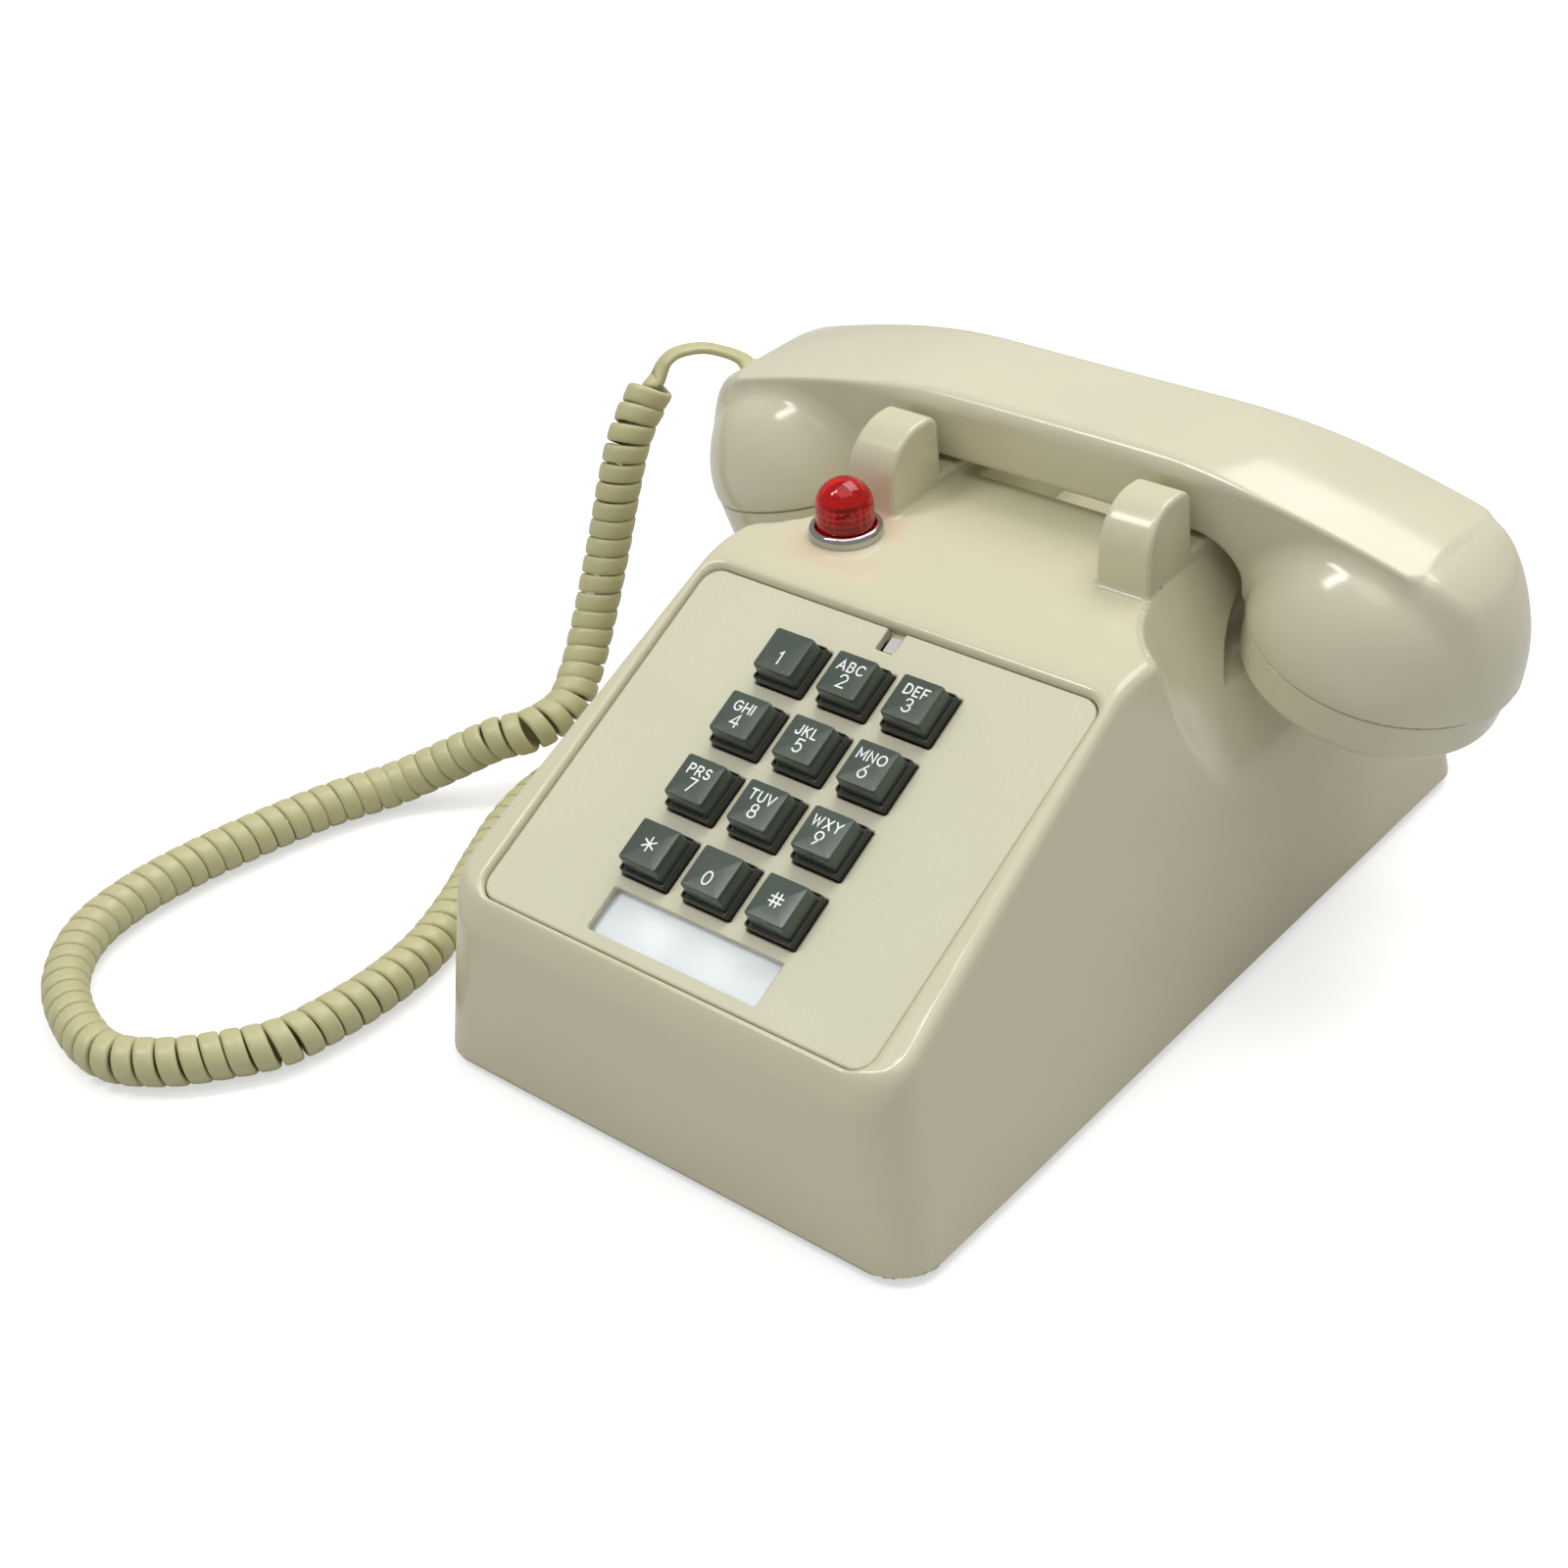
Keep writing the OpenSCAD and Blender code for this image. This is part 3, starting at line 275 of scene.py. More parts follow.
# A piece in one or more finishes that rides on a body and may stand for CAD nodes
def newPiece(name, mesh, paint, body, stands=()):
    piece = bpy.data.objects.new(name, mesh)
    bpy.context.scene.collection.objects.link(piece)
    layers = [paint] if isinstance(paint, str) else paint
    for p in layers:
        mesh.materials.append(paints[p])
    if body:
        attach(piece, body)
    if stands:
        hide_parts(*stands)
    return piece


def bodyOf(node):
    return frame["nodes"][node]["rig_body"]


# A cleaned copy of a CAD node: welded, flat faces joined, sharp edges rounded
def softened(node, name, paint, radius, sharp):
    mesh = bmesh.new()
    mesh.from_mesh(frame["nodes"][node].data)
    bmesh.ops.remove_doubles(mesh, verts=mesh.verts, dist=2e-6)
    bmesh.ops.dissolve_limit(mesh, angle_limit=math.radians(0.6), verts=mesh.verts, edges=mesh.edges)
    bmesh.ops.recalc_face_normals(mesh, faces=mesh.faces)
    weights = mesh.edges.layers.float.new("bevel_weight_edge")
    for e in mesh.edges:
        if len(e.link_faces) == 2:
            e.smooth = math.degrees(e.calc_face_angle(0)) < sharp
            e[weights] = 0.0 if e.smooth else 1.0
    for f in mesh.faces:
        f.smooth = True
    data = bpy.data.meshes.new(name)
    mesh.to_mesh(data)
    mesh.free()
    piece = newPiece(name, data, paint, bodyOf(node), (node,))
    rounding = piece.modifiers.new("roundEdges", "BEVEL")
    rounding.limit_method = "WEIGHT"
    rounding.width = radius
    rounding.segments = 3
    rounding.use_clamp_overlap = False
    rounding.miter_outer = "MITER_ARC"
    rounding.harden_normals = True


# From the housing's own corner (mm) to the shared frame (m)
ownCorner = np.array([0, -118.0, 2.0])


def atBody(p):
    return (np.asarray(p, float) + ownCorner) * mm


panel = {
    "ridge": (99.3, 91.8),      # y and z of the crease between slope and deck
    "slope": math.radians(26.15),
    "middle": -49.8,
    "sunk": -1.2,
    "plateV": -3.6,
}


# Panel coordinates: x across, v up the slope, n out of the plate's top face
def onPanel(x, v, n):
    c, s = math.cos(panel["slope"]), math.sin(panel["slope"])
    v, n = v + panel["middle"], n + panel["sunk"]
    ridgeY, ridgeZ = panel["ridge"]
    return atBody(np.stack([x, ridgeY + v * c - n * s, ridgeZ + v * s + n * c], -1))


def onPanelPoints(p):
    return onPanel(p[:, 0], p[:, 1], p[:, 2])


# Least and greatest of two fields, blended where they come within k of each other
def softMin(a, b, k):
    h = np.clip(k - np.abs(a - b), 0, None) / np.maximum(k, 1e-6)
    return np.minimum(a, b) - h * h * k / 4


def softMax(a, b, k):
    return -softMin(-a, -b, k)


# The overlap of two bodies whose shared edge is rounded to radius r; with the second turned inside out it cuts
def roundMax(a, b, r):
    u, v = a + r, b + r
    return np.hypot(np.clip(u, 0, None), np.clip(v, 0, None)) - r + np.minimum(np.maximum(u, v), 0)


# Smooth step from 0 at a to 1 at b
def ease(a, b, x):
    t = np.clip((x - a) / (b - a), 0, 1)
    return t * t * (3 - 2 * t)


def quadMesh(name, points, quads, normals):
    data = bpy.data.meshes.new(name)
    data.vertices.add(len(points))
    data.vertices.foreach_set("co", np.asarray(points, np.float32).ravel())
    data.loops.add(quads.size)
    data.loops.foreach_set("vertex_index", quads.astype(np.int32).ravel())
    data.polygons.add(len(quads))
    data.polygons.foreach_set("loop_start", np.arange(0, quads.size, 4, dtype=np.int32))
    data.update(calc_edges=True)
    data.polygons.foreach_set("use_smooth", np.ones(len(quads), bool))
    data.validate()
    data.normals_split_custom_set_from_vertices(normals.tolist())
    return data


# Meshes the zero surface of field(x, y, z), given in mm, inside a box; points are drawn onto the surface itself
def surfaceNet(name, field, low, high, cell, put=atBody):
    block, drawn, h = 4, 3, 0.02
    low, high = np.array(low, float), np.array(high, float)
    blocks = np.ceil((high - low) / cell / block).astype(int)
    middle = [low[i] + (np.arange(blocks[i]) + 0.5) * block * cell for i in range(3)]
    grid = np.stack([g.ravel() for g in np.meshgrid(*middle, indexing="ij")])
    coarse = field(*grid).reshape(blocks)
    values = coarse.repeat(block, 0).repeat(block, 1).repeat(block, 2)
    values = np.pad(values, ((0, 1),) * 3, mode="edge")
    near = np.argwhere(np.abs(coarse) < block * cell * 0.95) * block
    wanted = np.zeros(values.shape, bool)
    for i, j, k in np.ndindex(block + 1, block + 1, block + 1):
        wanted[near[:, 0] + i, near[:, 1] + j, near[:, 2] + k] = True
    spots = np.argwhere(wanted) * cell + low
    values[wanted] = field(*spots.T)
    inside = values < 0
    corners = [(i, j, k) for i in (0, 1) for j in (0, 1) for k in (0, 1)]
    nx, ny, nz = (n - 1 for n in inside.shape)
    count = sum(inside[i:nx + i, j:ny + j, k:nz + k].astype(np.uint8) for i, j, k in corners)
    surface = (count > 0) & (count < 8)
    cells = np.argwhere(surface)
    number = np.full(surface.shape, -1, np.int64)
    number[surface] = np.arange(len(cells))
    at = np.stack([values[cells[:, 0] + i, cells[:, 1] + j, cells[:, 2] + k] for i, j, k in corners], 1)
    total, hits = np.zeros((len(cells), 3)), np.zeros(len(cells))
    for a in range(8):
        for b in range(a + 1, 8):
            if sum(p != q for p, q in zip(corners[a], corners[b])) != 1:
                continue
            cross = (at[:, a] < 0) != (at[:, b] < 0)
            t = at[cross, a] / (at[cross, a] - at[cross, b])
            start, step = np.array(corners[a]), np.array(corners[b]) - np.array(corners[a])
            total[cross] += start + step * t[:, None]
            hits[cross] += 1
    points = low + (cells + total / hits[:, None]) * cell

    def slope(p):
        return np.stack([field(*(p + d).T) - field(*(p - d).T) for d in np.eye(3) * h], 1) / (2 * h)

    for _ in range(drawn):
        g = slope(points)
        shift = field(*points.T)[:, None] * g / np.clip((g * g).sum(1), 0.3, None)[:, None]
        points -= np.clip(shift, -0.6 * cell, 0.6 * cell)
    g = slope(points)
    g /= np.maximum(np.linalg.norm(g, axis=1), 1e-6)[:, None]
    quads = []
    for axis in range(3):
        u, v = (axis + 1) % 3, (axis + 2) % 3
        first = [slice(1, -1)] * 3
        second = [slice(1, -1)] * 3
        first[axis], second[axis] = slice(0, -1), slice(1, None)
        a, b = inside[tuple(first)], inside[tuple(second)]
        for flip in (False, True):
            node = np.argwhere((a & ~b) if not flip else (~a & b))
            base = node.copy()
            base[:, u] += 1
            base[:, v] += 1
            ring = []
            for du, dv in ((-1, -1), (0, -1), (0, 0), (-1, 0)):
                c = base.copy()
                c[:, u] += du
                c[:, v] += dv
                ring.append(number[c[:, 0], c[:, 1], c[:, 2]])
            quad = np.stack(ring if not flip else ring[::-1], 1)
            quads.append(quad[(quad >= 0).all(1)])
    normals = (put(points + g) - put(points)) / mm
    return quadMesh(name, put(points), np.concatenate(quads), normals)


shell = {
    "halfWidth": 71.15, "depth": 236.0, "deck": 91.8, "wall": 2.8, "foot": 0.5, "inner": 0.3,
    "sideLean": math.radians(7.7), "frontLean": math.radians(5.6), "rearLean": math.radians(7),
    "upperPoint": (228.88, 58.0), "upperWay": (0.9152, 0.4029), "upperEdge": 12,
    "upright": 11.5, "rim": 2.6, "frontRim": 6.5, "frontRimEnds": (3, 12), "ridge": 2.6,
    "plate": (56.15, 48.5, 5.3), "plateDeep": 2.5, "opening": (53.65, 46.0, 4.0),
    "lip": 1.3, "topLip": 2.2, "topLipFrom": (43, 48), "ledge": (59.35, 51.7, 7), "ledgeDeep": 4.8,
    "middleY": 170.0, "scoopEdge": 1.1, "gripEdge": 1.4,
    "lamp": (-34.3, 119.8, 7.95), "plunger": (34.0, 4.48), "flange": (6.2, 72.85, 89.15), "holesFrom": 71,
    "boss": {"x": 63.75, "fromMiddle": 97, "radius": 4.4, "top": 37.8, "bore": 1.55, "boreTop": 24},
    "jack": {"half": (7.3, 6.3), "z": 8.1, "sideY": 128, "sideTo": -56, "rearX": -28, "rearFrom": 221, "edge": 0.4},
}
slot = {
    "radius": 35.9, "run": 30, "open": 40, "x": 78.0, "lowX": 82.4, "lean": math.radians(27.2),
    "cupRadius": 34, "cupDeep": 15.1,
}
grip = {
    "half": 25, "front": (158, 111.8, 0.11834), "bend": 240, "ground": (72, 168, 0.04545),
    "bendEdge": 3, "groundEdge": 5,
}
ear = {
    "x": (28.9, 43.6), "front": 130.6, "back": 150.6, "tops": (111.6, 103.0), "edge": 1.3, "foot": 1.6,
    "base": 89.8, "bottom": 86, "deep": 5.4, "frontLean": 0.0902, "backLean": 0.0226, "frontRound": 10.8,
    "backRound": 4, "saddleHalf": 33, "saddleTop": 95.28, "saddleEdge": 0.8,
}


# A rounded rectangle about the origin of (u, v)
def rectField(u, v, halfU, halfV, r):
    qu, qv = np.abs(u) - halfU + r, np.abs(v) - halfV + r
    return np.hypot(np.clip(qu, 0, None), np.clip(qv, 0, None)) + np.minimum(np.maximum(qu, qv), 0) - r


# The block that the housing is cut from: leaning walls, slope, deck and the chamfer at the rear
def wallsField(x, y, z):
    s = shell
    side = (np.abs(x) - s["halfWidth"] + z * math.tan(s["sideLean"])) * math.cos(s["sideLean"])
    front = (z * math.tan(s["frontLean"]) - y) * math.cos(s["frontLean"])
    rear = (y - s["depth"] + z * math.tan(s["rearLean"])) * math.cos(s["rearLean"])
    upper = (y - s["upperPoint"][0]) * s["upperWay"][0] + (z - s["upperPoint"][1]) * s["upperWay"][1]
    c, sn = math.cos(panel["slope"]), math.sin(panel["slope"])
    slope = -(y - panel["ridge"][0]) * sn + (z - panel["ridge"][1]) * c
    walls = np.maximum(roundMax(front, side, s["upright"]), roundMax(rear, side, s["upright"]))
    top = np.maximum(softMax(z - s["deck"], slope, s["ridge"]), roundMax(z - s["deck"], upper, s["upperEdge"]))
    edge = s["rim"] + (s["frontRim"] - s["rim"]) * (1 - ease(*s["frontRimEnds"], y))
    return roundMax(top, walls, edge)


def slotField(u, away):
    past = np.abs(away) - slot["run"]
    disc = np.hypot(u, np.clip(past, 0, None)) - slot["radius"]
    bar = np.maximum(past, np.maximum(-u - slot["radius"], u - slot["open"]))
    return np.minimum(disc, bar)


# Hollows at both sides that take the handset's ends
def scoopField(x, y, z):
    wide, above, away = np.abs(x), z - shell["deck"], y - shell["middleY"]
    c, sn = math.cos(slot["lean"]), math.sin(slot["lean"])
    low = np.maximum(slotField((wide - slot["lowX"]) * c + above * sn, away), above)
    high = np.maximum(slotField(wide - slot["x"], away), -0.01 - above)
    cupX, cupZ = wide - handle["cup"][0], z - handle["cup"][1]
    c, sn = math.cos(handle["tilt"]), math.sin(handle["tilt"])
    cup = np.maximum(np.hypot(cupX * c - cupZ * sn, away) - slot["cupRadius"], -slot["cupDeep"] - cupX * sn - cupZ * c)
    return np.minimum(np.minimum(low, high), cup)


# The hollow for the fingers between the ears
def gripField(x, y, z):
    y0, z0, lean = grip["front"]
    front = (y0 + (z0 - z) * lean - y) * 0.993
    bend = (grip["bend"] - y - z) * 0.7071
    z0, y0, lean = grip["ground"]
    ground = z0 - (y - y0) * lean - z
    faces = softMax(softMax(front, bend, grip["bendEdge"]), ground, grip["groundEdge"])
    return np.maximum(np.abs(x) - grip["half"], faces)


# Four cradle ears, and the low saddle that joins each pair
def earField(x, y, z):
    wide, bottom = np.abs(x), ear["bottom"] - z
    slab = np.maximum(wide - ear["x"][1], ear["x"][0] - wide)
    both = []
    for away, top in zip((y, 2 * shell["middleY"] - y), ear["tops"]):
        front = (ear["front"] + (z - ear["base"]) * ear["frontLean"] - away) * 0.996
        back = away - (ear["back"] - (z - ear["base"]) * ear["backLean"])
        one = np.maximum(roundMax(front, z - top, ear["frontRound"]), roundMax(back, z - top, ear["backRound"]))
        both.append(np.maximum(roundMax(one, slab, ear["edge"]), bottom))
    saddle = np.maximum(np.abs(y - shell["middleY"]) - ear["saddleHalf"], z - ear["saddleTop"])
    saddle = np.maximum(roundMax(saddle, slab, ear["saddleEdge"]), bottom)
    return np.minimum(np.minimum(*both), saddle)


# Distance, in mm, to the surface of the moulded housing
def housingField(x, y, z):
    s, wall, wide = shell, shell["wall"], np.abs(x)
    outer, scoops, hand = wallsField(x, y, z), scoopField(x, y, z), gripField(x, y, z)
    c, sn = math.cos(panel["slope"]), math.sin(panel["slope"])
    dy, dz = y - panel["ridge"][0], z - panel["ridge"][1]
    v = dy * c + dz * sn - panel["middle"] - panel["plateV"]
    n = -dy * sn + dz * c - panel["sunk"]
    boss, jack = s["boss"], s["jack"]
    post = np.hypot(wide - boss["x"], np.abs(y - s["depth"] / 2) - boss["fromMiddle"])
    # the room inside: the block less its walls, the walls of the hollows, the plate's ledge and the screw posts
    hollow = np.maximum(np.maximum(outer + wall, wall - scoops), wall - hand)
    hollow = np.maximum(hollow, -np.maximum(rectField(x, v, *s["ledge"]), -s["ledgeDeep"] - n))
    hollow = np.maximum(hollow, -np.maximum(post - boss["radius"], z - boss["top"]))
    f = roundMax(roundMax(outer, -z, s["foot"]), -hollow, s["inner"])
    f = softMin(f, np.maximum(earField(x, y, z), -ear["deep"] - f), ear["foot"])
    f = roundMax(f, -scoops, s["scoopEdge"])
    f = roundMax(f, -hand, s["gripEdge"])
    lip = s["lip"] + (s["topLip"] - s["lip"]) * ease(*s["topLipFrom"], v)
    f = roundMax(f, -np.maximum(rectField(x, v, *s["plate"]), -s["plateDeep"] - n), lip)
    f = np.maximum(f, -np.maximum(rectField(x, v, *s["opening"]), np.abs(n + 10) - 20))
    lampX, lampY, lampR = s["lamp"]
    plungerX, plungerR = s["plunger"]
    above = s["holesFrom"] - z
    f = roundMax(f, -np.maximum(np.hypot(x - lampX, y - lampY) - lampR, above), 0.25)
    rod = np.hypot(wide - plungerX, y - s["middleY"])
    f = roundMax(f, -np.maximum(rod - plungerR, above), 0.3)
    f = np.maximum(f, -np.maximum(post - boss["bore"], z - boss["boreTop"]))
    flangeR, flangeLow, flangeHigh = s["flange"]
    f = np.maximum(f, -np.maximum(rod - flangeR, np.maximum(flangeLow - z, z - flangeHigh)))
    halfJack, upJack = jack["half"]
    tall = np.abs(z - jack["z"]) - upJack
    side = np.maximum(np.maximum(np.abs(y - jack["sideY"]) - halfJack, tall), x - jack["sideTo"])
    rear = np.maximum(np.maximum(np.abs(x - jack["rearX"]) - halfJack, tall), jack["rearFrom"] - y)
    return roundMax(f, -np.minimum(side, rear), jack["edge"])


for cap in ("transmitter", "receiver"):
    softened(cap + "_cap", cap + "Cap", "handsetGloss", radius=0.0005, sharp=24)
print("caps rounded")

plate = {
    "size": (55.85, 48.2, 5.0), "thick": 2.5, "edge": 0.5,
    "pitch": (18.2, 18.1), "hole": (6.85, 6.85, 0.5), "holeEdge": 0.3,
    "windowV": -42.8, "window": (24.25, 5.6, 0.4), "windowEdge": 0.3, "rebate": (25.35, 6.7, 0.3), "rebateDeep": 1.5,
    "notchV": 49.6, "notch": (2.5, 11.0, 0.3), "notchEdge": 0.25,
}


# The face plate with its key openings, card window and notch
def plateField(x, v, n):
    s = plate
    f = roundMax(rectField(x, v - panel["plateV"], *s["size"]), n, s["edge"])
    f = np.maximum(f, -s["thick"] - n)
    px, pv = s["pitch"]
    u = np.abs(x) - px * np.clip(np.round(np.abs(x) / px), 0, 1)
    w = np.abs(v) - pv * (np.clip(np.floor(np.abs(v) / pv), 0, 1) + 0.5)
    f = roundMax(f, -rectField(u, w, *s["hole"]), s["holeEdge"])
    low = v - s["windowV"]
    f = roundMax(f, -rectField(x, low, *s["window"]), s["windowEdge"])
    f = np.maximum(f, -np.maximum(rectField(x, low, *s["rebate"]), n + s["rebateDeep"]))
    return roundMax(f, -rectField(x, v - s["notchV"], *s["notch"]), s["notchEdge"])


newPiece("facePlate", surfaceNet("facePlate", plateField, (-57, -53, -3.2), (57, 46, 0.7), 0.55, onPanelPoints),
         "plateStipple", bodyOf("faceplate"), ("faceplate",))


# Boxes in face-plate coordinates: x, v, n from and to, and the index of the finish
def boxesMesh(name, boxes, toWorld):
    verts, faces, inks = [], [], []
    for x0, v0, n0, x1, v1, n1, ink in boxes:
        k = len(verts)
        verts += [tuple(toWorld(x, v, n)) for x in (x0, x1) for v in (v0, v1) for n in (n0, n1)]
        faces += [tuple(k + i for i in f) for f in ((0, 1, 3, 2), (4, 6, 7, 5), (0, 4, 5, 1), (2, 3, 7, 6),
                                                    (0, 2, 6, 4), (1, 5, 7, 3))]
        inks += [ink] * 6
    data = bpy.data.meshes.new(name)
    data.from_pydata(verts, [], faces)
    for f, ink in zip(data.polygons, inks):
        f.material_index = ink
    return data


# The latch: a clear tab standing in a near-black slot and foot; the black is painted shade for the dark gap in the
# notch around the tab
latch = {
    "slot": (-2.2, 38.9, -3.1, 2.2, 43.6, -2.3, 1),
    "foot": (-4.3, 39.2, -3.5, 4.3, 43.2, -3.11, 1),
    "tab": (-0.7, 39.0, -2.31, 2.15, 43.0, -0.62, 0),
}
# the slot and foot take the black skirt finish as painted shade in the notch
newPiece("latchTab", boxesMesh("latchTab", list(latch.values()), onPanel), ("frostedTab", "keySkirt"),
         bodyOf("faceplate_latch"), ("faceplate_latch",))
print("face plate meshed")

handle = {
    "arcCentre": -216.4, "edge": 333.8, "crown": 1.2, "halfWidth": 18.2, "flankLean": 0.1756, "flankTop": 332.8,
    "endCentre": (84.0, 77.0), "endRadii": (28.8, 30.2), "endScale": 28, "endFrom": (88, 98.5), "endOpen": 8,
    "endRound": 32.3, "planEdge": 7, "endEdge": 5, "backEdge": 1.3,
    "hollow": (39.0, 84.5, 12.0), "hollowEdge": 2.6,
    "cup": (80.3, 75.2), "tilt": math.radians(14.9),
    "bowlTurn": [-5.4, 0, 7.2, 14.6, 22.3, 30.6, 39.8, 48.1, 56.4, 67.8, 90],
    "bowlRadius": [31.74, 31.9, 31.85, 31.7, 31.57, 31.38, 31.24, 30.88, 30.0, 28.08, 26.2],
    "bowlUp": 3, "bowlTop": 1.5, "valley": 3.2, "mouth": (28, 14), "throat": (7, 21), "edgeBelow": 0.4,
    "cordHole": (-105.5, 95.3, math.radians(55), 3.1), "cordDeep": 9, "cordEdge": 0.3,
}
bowlCurve = np.polyfit(np.radians(handle["bowlTurn"]), handle["bowlRadius"], 6)


# Distance, in mm, to the surface of the handle joined to its two bowls; y is measured from the handset's middle
def handsetField(x, y, z):
    g = handle
    x, wide = np.abs(x), np.abs(y)
    rise = np.hypot(x, z - g["arcCentre"])
    back = rise - (g["edge"] + g["crown"] * (1 - (wide / g["halfWidth"]) ** 2).clip(0, 1))
    flank = (wide - g["halfWidth"] + g["flankLean"] * (g["flankTop"] - rise)) * 0.985
    endX, endZ = g["endCentre"]
    tip = (np.hypot(np.clip(x - endX, 0, None) / g["endRadii"][0],
                    np.clip(z - endZ, 0, None) / g["endRadii"][1]) - 1) * g["endScale"]
    tip = tip - g["endOpen"] * (1 - ease(*g["endFrom"], x))
    plan = np.hypot(np.clip(x - g["cup"][0], 0, None), y) - g["endRound"]
    qx, qz = x - g["hollow"][0], z - g["hollow"][1]
    hollow = np.hypot(np.clip(qx, 0, None), np.clip(qz, 0, None)) - g["hollow"][2] + np.minimum(np.maximum(qx, qz), 0)
    ends = roundMax(tip, roundMax(plan, flank, g["planEdge"]), g["endEdge"])
    bar = softMax(softMax(back, ends, g["backEdge"]), -hollow, g["hollowEdge"])
    c, s = math.cos(g["tilt"]), math.sin(g["tilt"])
    cupX, cupZ = x - g["cup"][0], z - g["cup"][1]
    up = cupX * s + cupZ * c
    out = np.hypot(cupX * c - cupZ * s, y)
    turn = np.clip(np.arctan2(up - g["bowlUp"], out), -0.12, math.pi / 2)
    bowl = np.hypot(up - g["bowlUp"], out) - np.polyval(bowlCurve, turn)
    bowl = softMax(bowl, rise - g["edge"], g["bowlTop"])
    f = roundMax(softMin(bar, bowl, g["valley"]), np.where(x > 45, -up, -1e3), g["edgeBelow"])
    inner = np.minimum(*[np.maximum(out - r, up - top) for r, top in (g["mouth"], g["throat"])])
    return roundMax(f, -inner, g["edgeBelow"])


def handsetWithHole(x, y, z):
    y = y - shell["middleY"]
    hx, hz, lean, r = handle["cordHole"]
    c, s = math.cos(lean), math.sin(lean)
    out = np.hypot((x - hx) * c + (z - hz) * s, y)
    deep = -(x - hx) * s + (z - hz) * c
    return roundMax(handsetField(x, y, z), -np.maximum(out - r, -handle["cordDeep"] - deep), handle["cordEdge"])


newPiece("housingShell", surfaceNet("housingShell", housingField, (-73, -2, -2), (73, 238, 119), 0.9), "beigeGloss",
         bodyOf("housing"), ("housing",))
print("housing meshed")
newPiece("handsetShell", surfaceNet("handsetShell", handsetWithHole, (-115, 136, 62), (115, 204, 120.5), 0.58),
         "handsetGloss", bodyOf("handset_shell"), ("handset_shell",))
print("handset shell meshed")


cornerSteps = 6


def roundedSquare(halfX, halfY, r):
    out = []
    for cx, cy, start in ((halfX - r, halfY - r, 0), (r - halfX, halfY - r, 90), (r - halfX, r - halfY, 180),
                          (halfX - r, r - halfY, 270)):
        for i in range(cornerSteps + 1):
            a = math.radians(start + 90 * i / cornerSteps)
            out.append((cx + r * math.cos(a), cy + r * math.sin(a)))
    return out


# A stack of rounded rectangles (halfX, halfY, corner, height, paint) joined into one solid
def stackMesh(name, levels, toWorld, dish):
    verts, faces, inks = [], [], []
    for hx, hy, r, z, ink in levels:
        verts += [toWorld(x, y, z) for x, y in roundedSquare(hx, hy, r)]
    k = 4 * (cornerSteps + 1)
    for i in range(len(levels) - 1):
        for j in range(k):
            faces.append((i * k + j, i * k + (j + 1) % k, (i + 1) * k + (j + 1) % k, (i + 1) * k + j))
            inks.append(levels[i + 1][4])
    faces.append(tuple(range(k))[::-1])
    inks.append(levels[0][4])
    last = (len(levels) - 1) * k
    verts.append(toWorld(0, 0, levels[-1][3] - dish))
    for j in range(k):
        faces.append((last + j, last + (j + 1) % k, len(verts) - 1))
        inks.append(levels[-1][4])
    data = bpy.data.meshes.new(name)
    data.from_pydata([tuple(v) for v in verts], [], faces)
    for f, ink in zip(data.polygons, inks):
        f.material_index = ink
        f.use_smooth = True
    data.set_sharp_from_angle(angle=math.radians(38))
    return data


keypad = {
    "pitch": (18.2, 18.1),
    "names": ["1", "2", "3", "4", "5", "6", "7", "8", "9", "star", "0", "hash"],
    "letters": {"2": "ABC", "3": "DEF", "4": "GHI", "5": "JKL", "6": "MNO", "7": "PRS", "8": "TUV", "9": "WXY"},
    "digitHeight": 3.25, "letterHeight": 2.4, "signHeight": 3.575, "stroke": 0.43, "lift": 0.03, "dish": 0.06,
    "letterAt": 2.05, "digitAt": -1.7,
}
# Skirt, its groove, then the cap with its rounded upper edge
keyLevels = [
    (3.2, 3.2, 0.4, -12.3, 0), (3.2, 3.2, 0.4, -4.01, 0), (7.7, 7.7, 0.6, -4.0, 0), (7.7, 7.7, 0.6, -2.82, 0),
    (6.58, 6.58, 0.6, -2.8, 0), (6.58, 6.58, 0.6, 2.1, 0), (6.53, 6.53, 0.6, 2.28, 0), (6.38, 6.38, 0.6, 2.34, 0),
    (6.22, 6.22, 0.6, 2.26, 0), (6.16, 6.16, 0.6, 1.5, 0), (5.7, 5.7, 0.7, 1.48, 0), (5.68, 5.68, 0.7, 1.52, 1),
    (5.56, 5.56, 0.7, 4.2, 1), (5.47, 5.47, 0.7, 5.7, 1), (5.44, 5.44, 0.7, 6.14, 1), (5.36, 5.36, 0.65, 6.32, 1),
    (5.24, 5.24, 0.6, 6.43, 1), (5.06, 5.06, 0.55, 6.47, 1),
]


def arc(cx, cy, rx, ry, a, b, n=14):
    turns = [math.radians(a + (b - a) * i / n) for i in range(n + 1)]
    return [(cx + rx * math.cos(t), cy + ry * math.sin(t)) for t in turns]


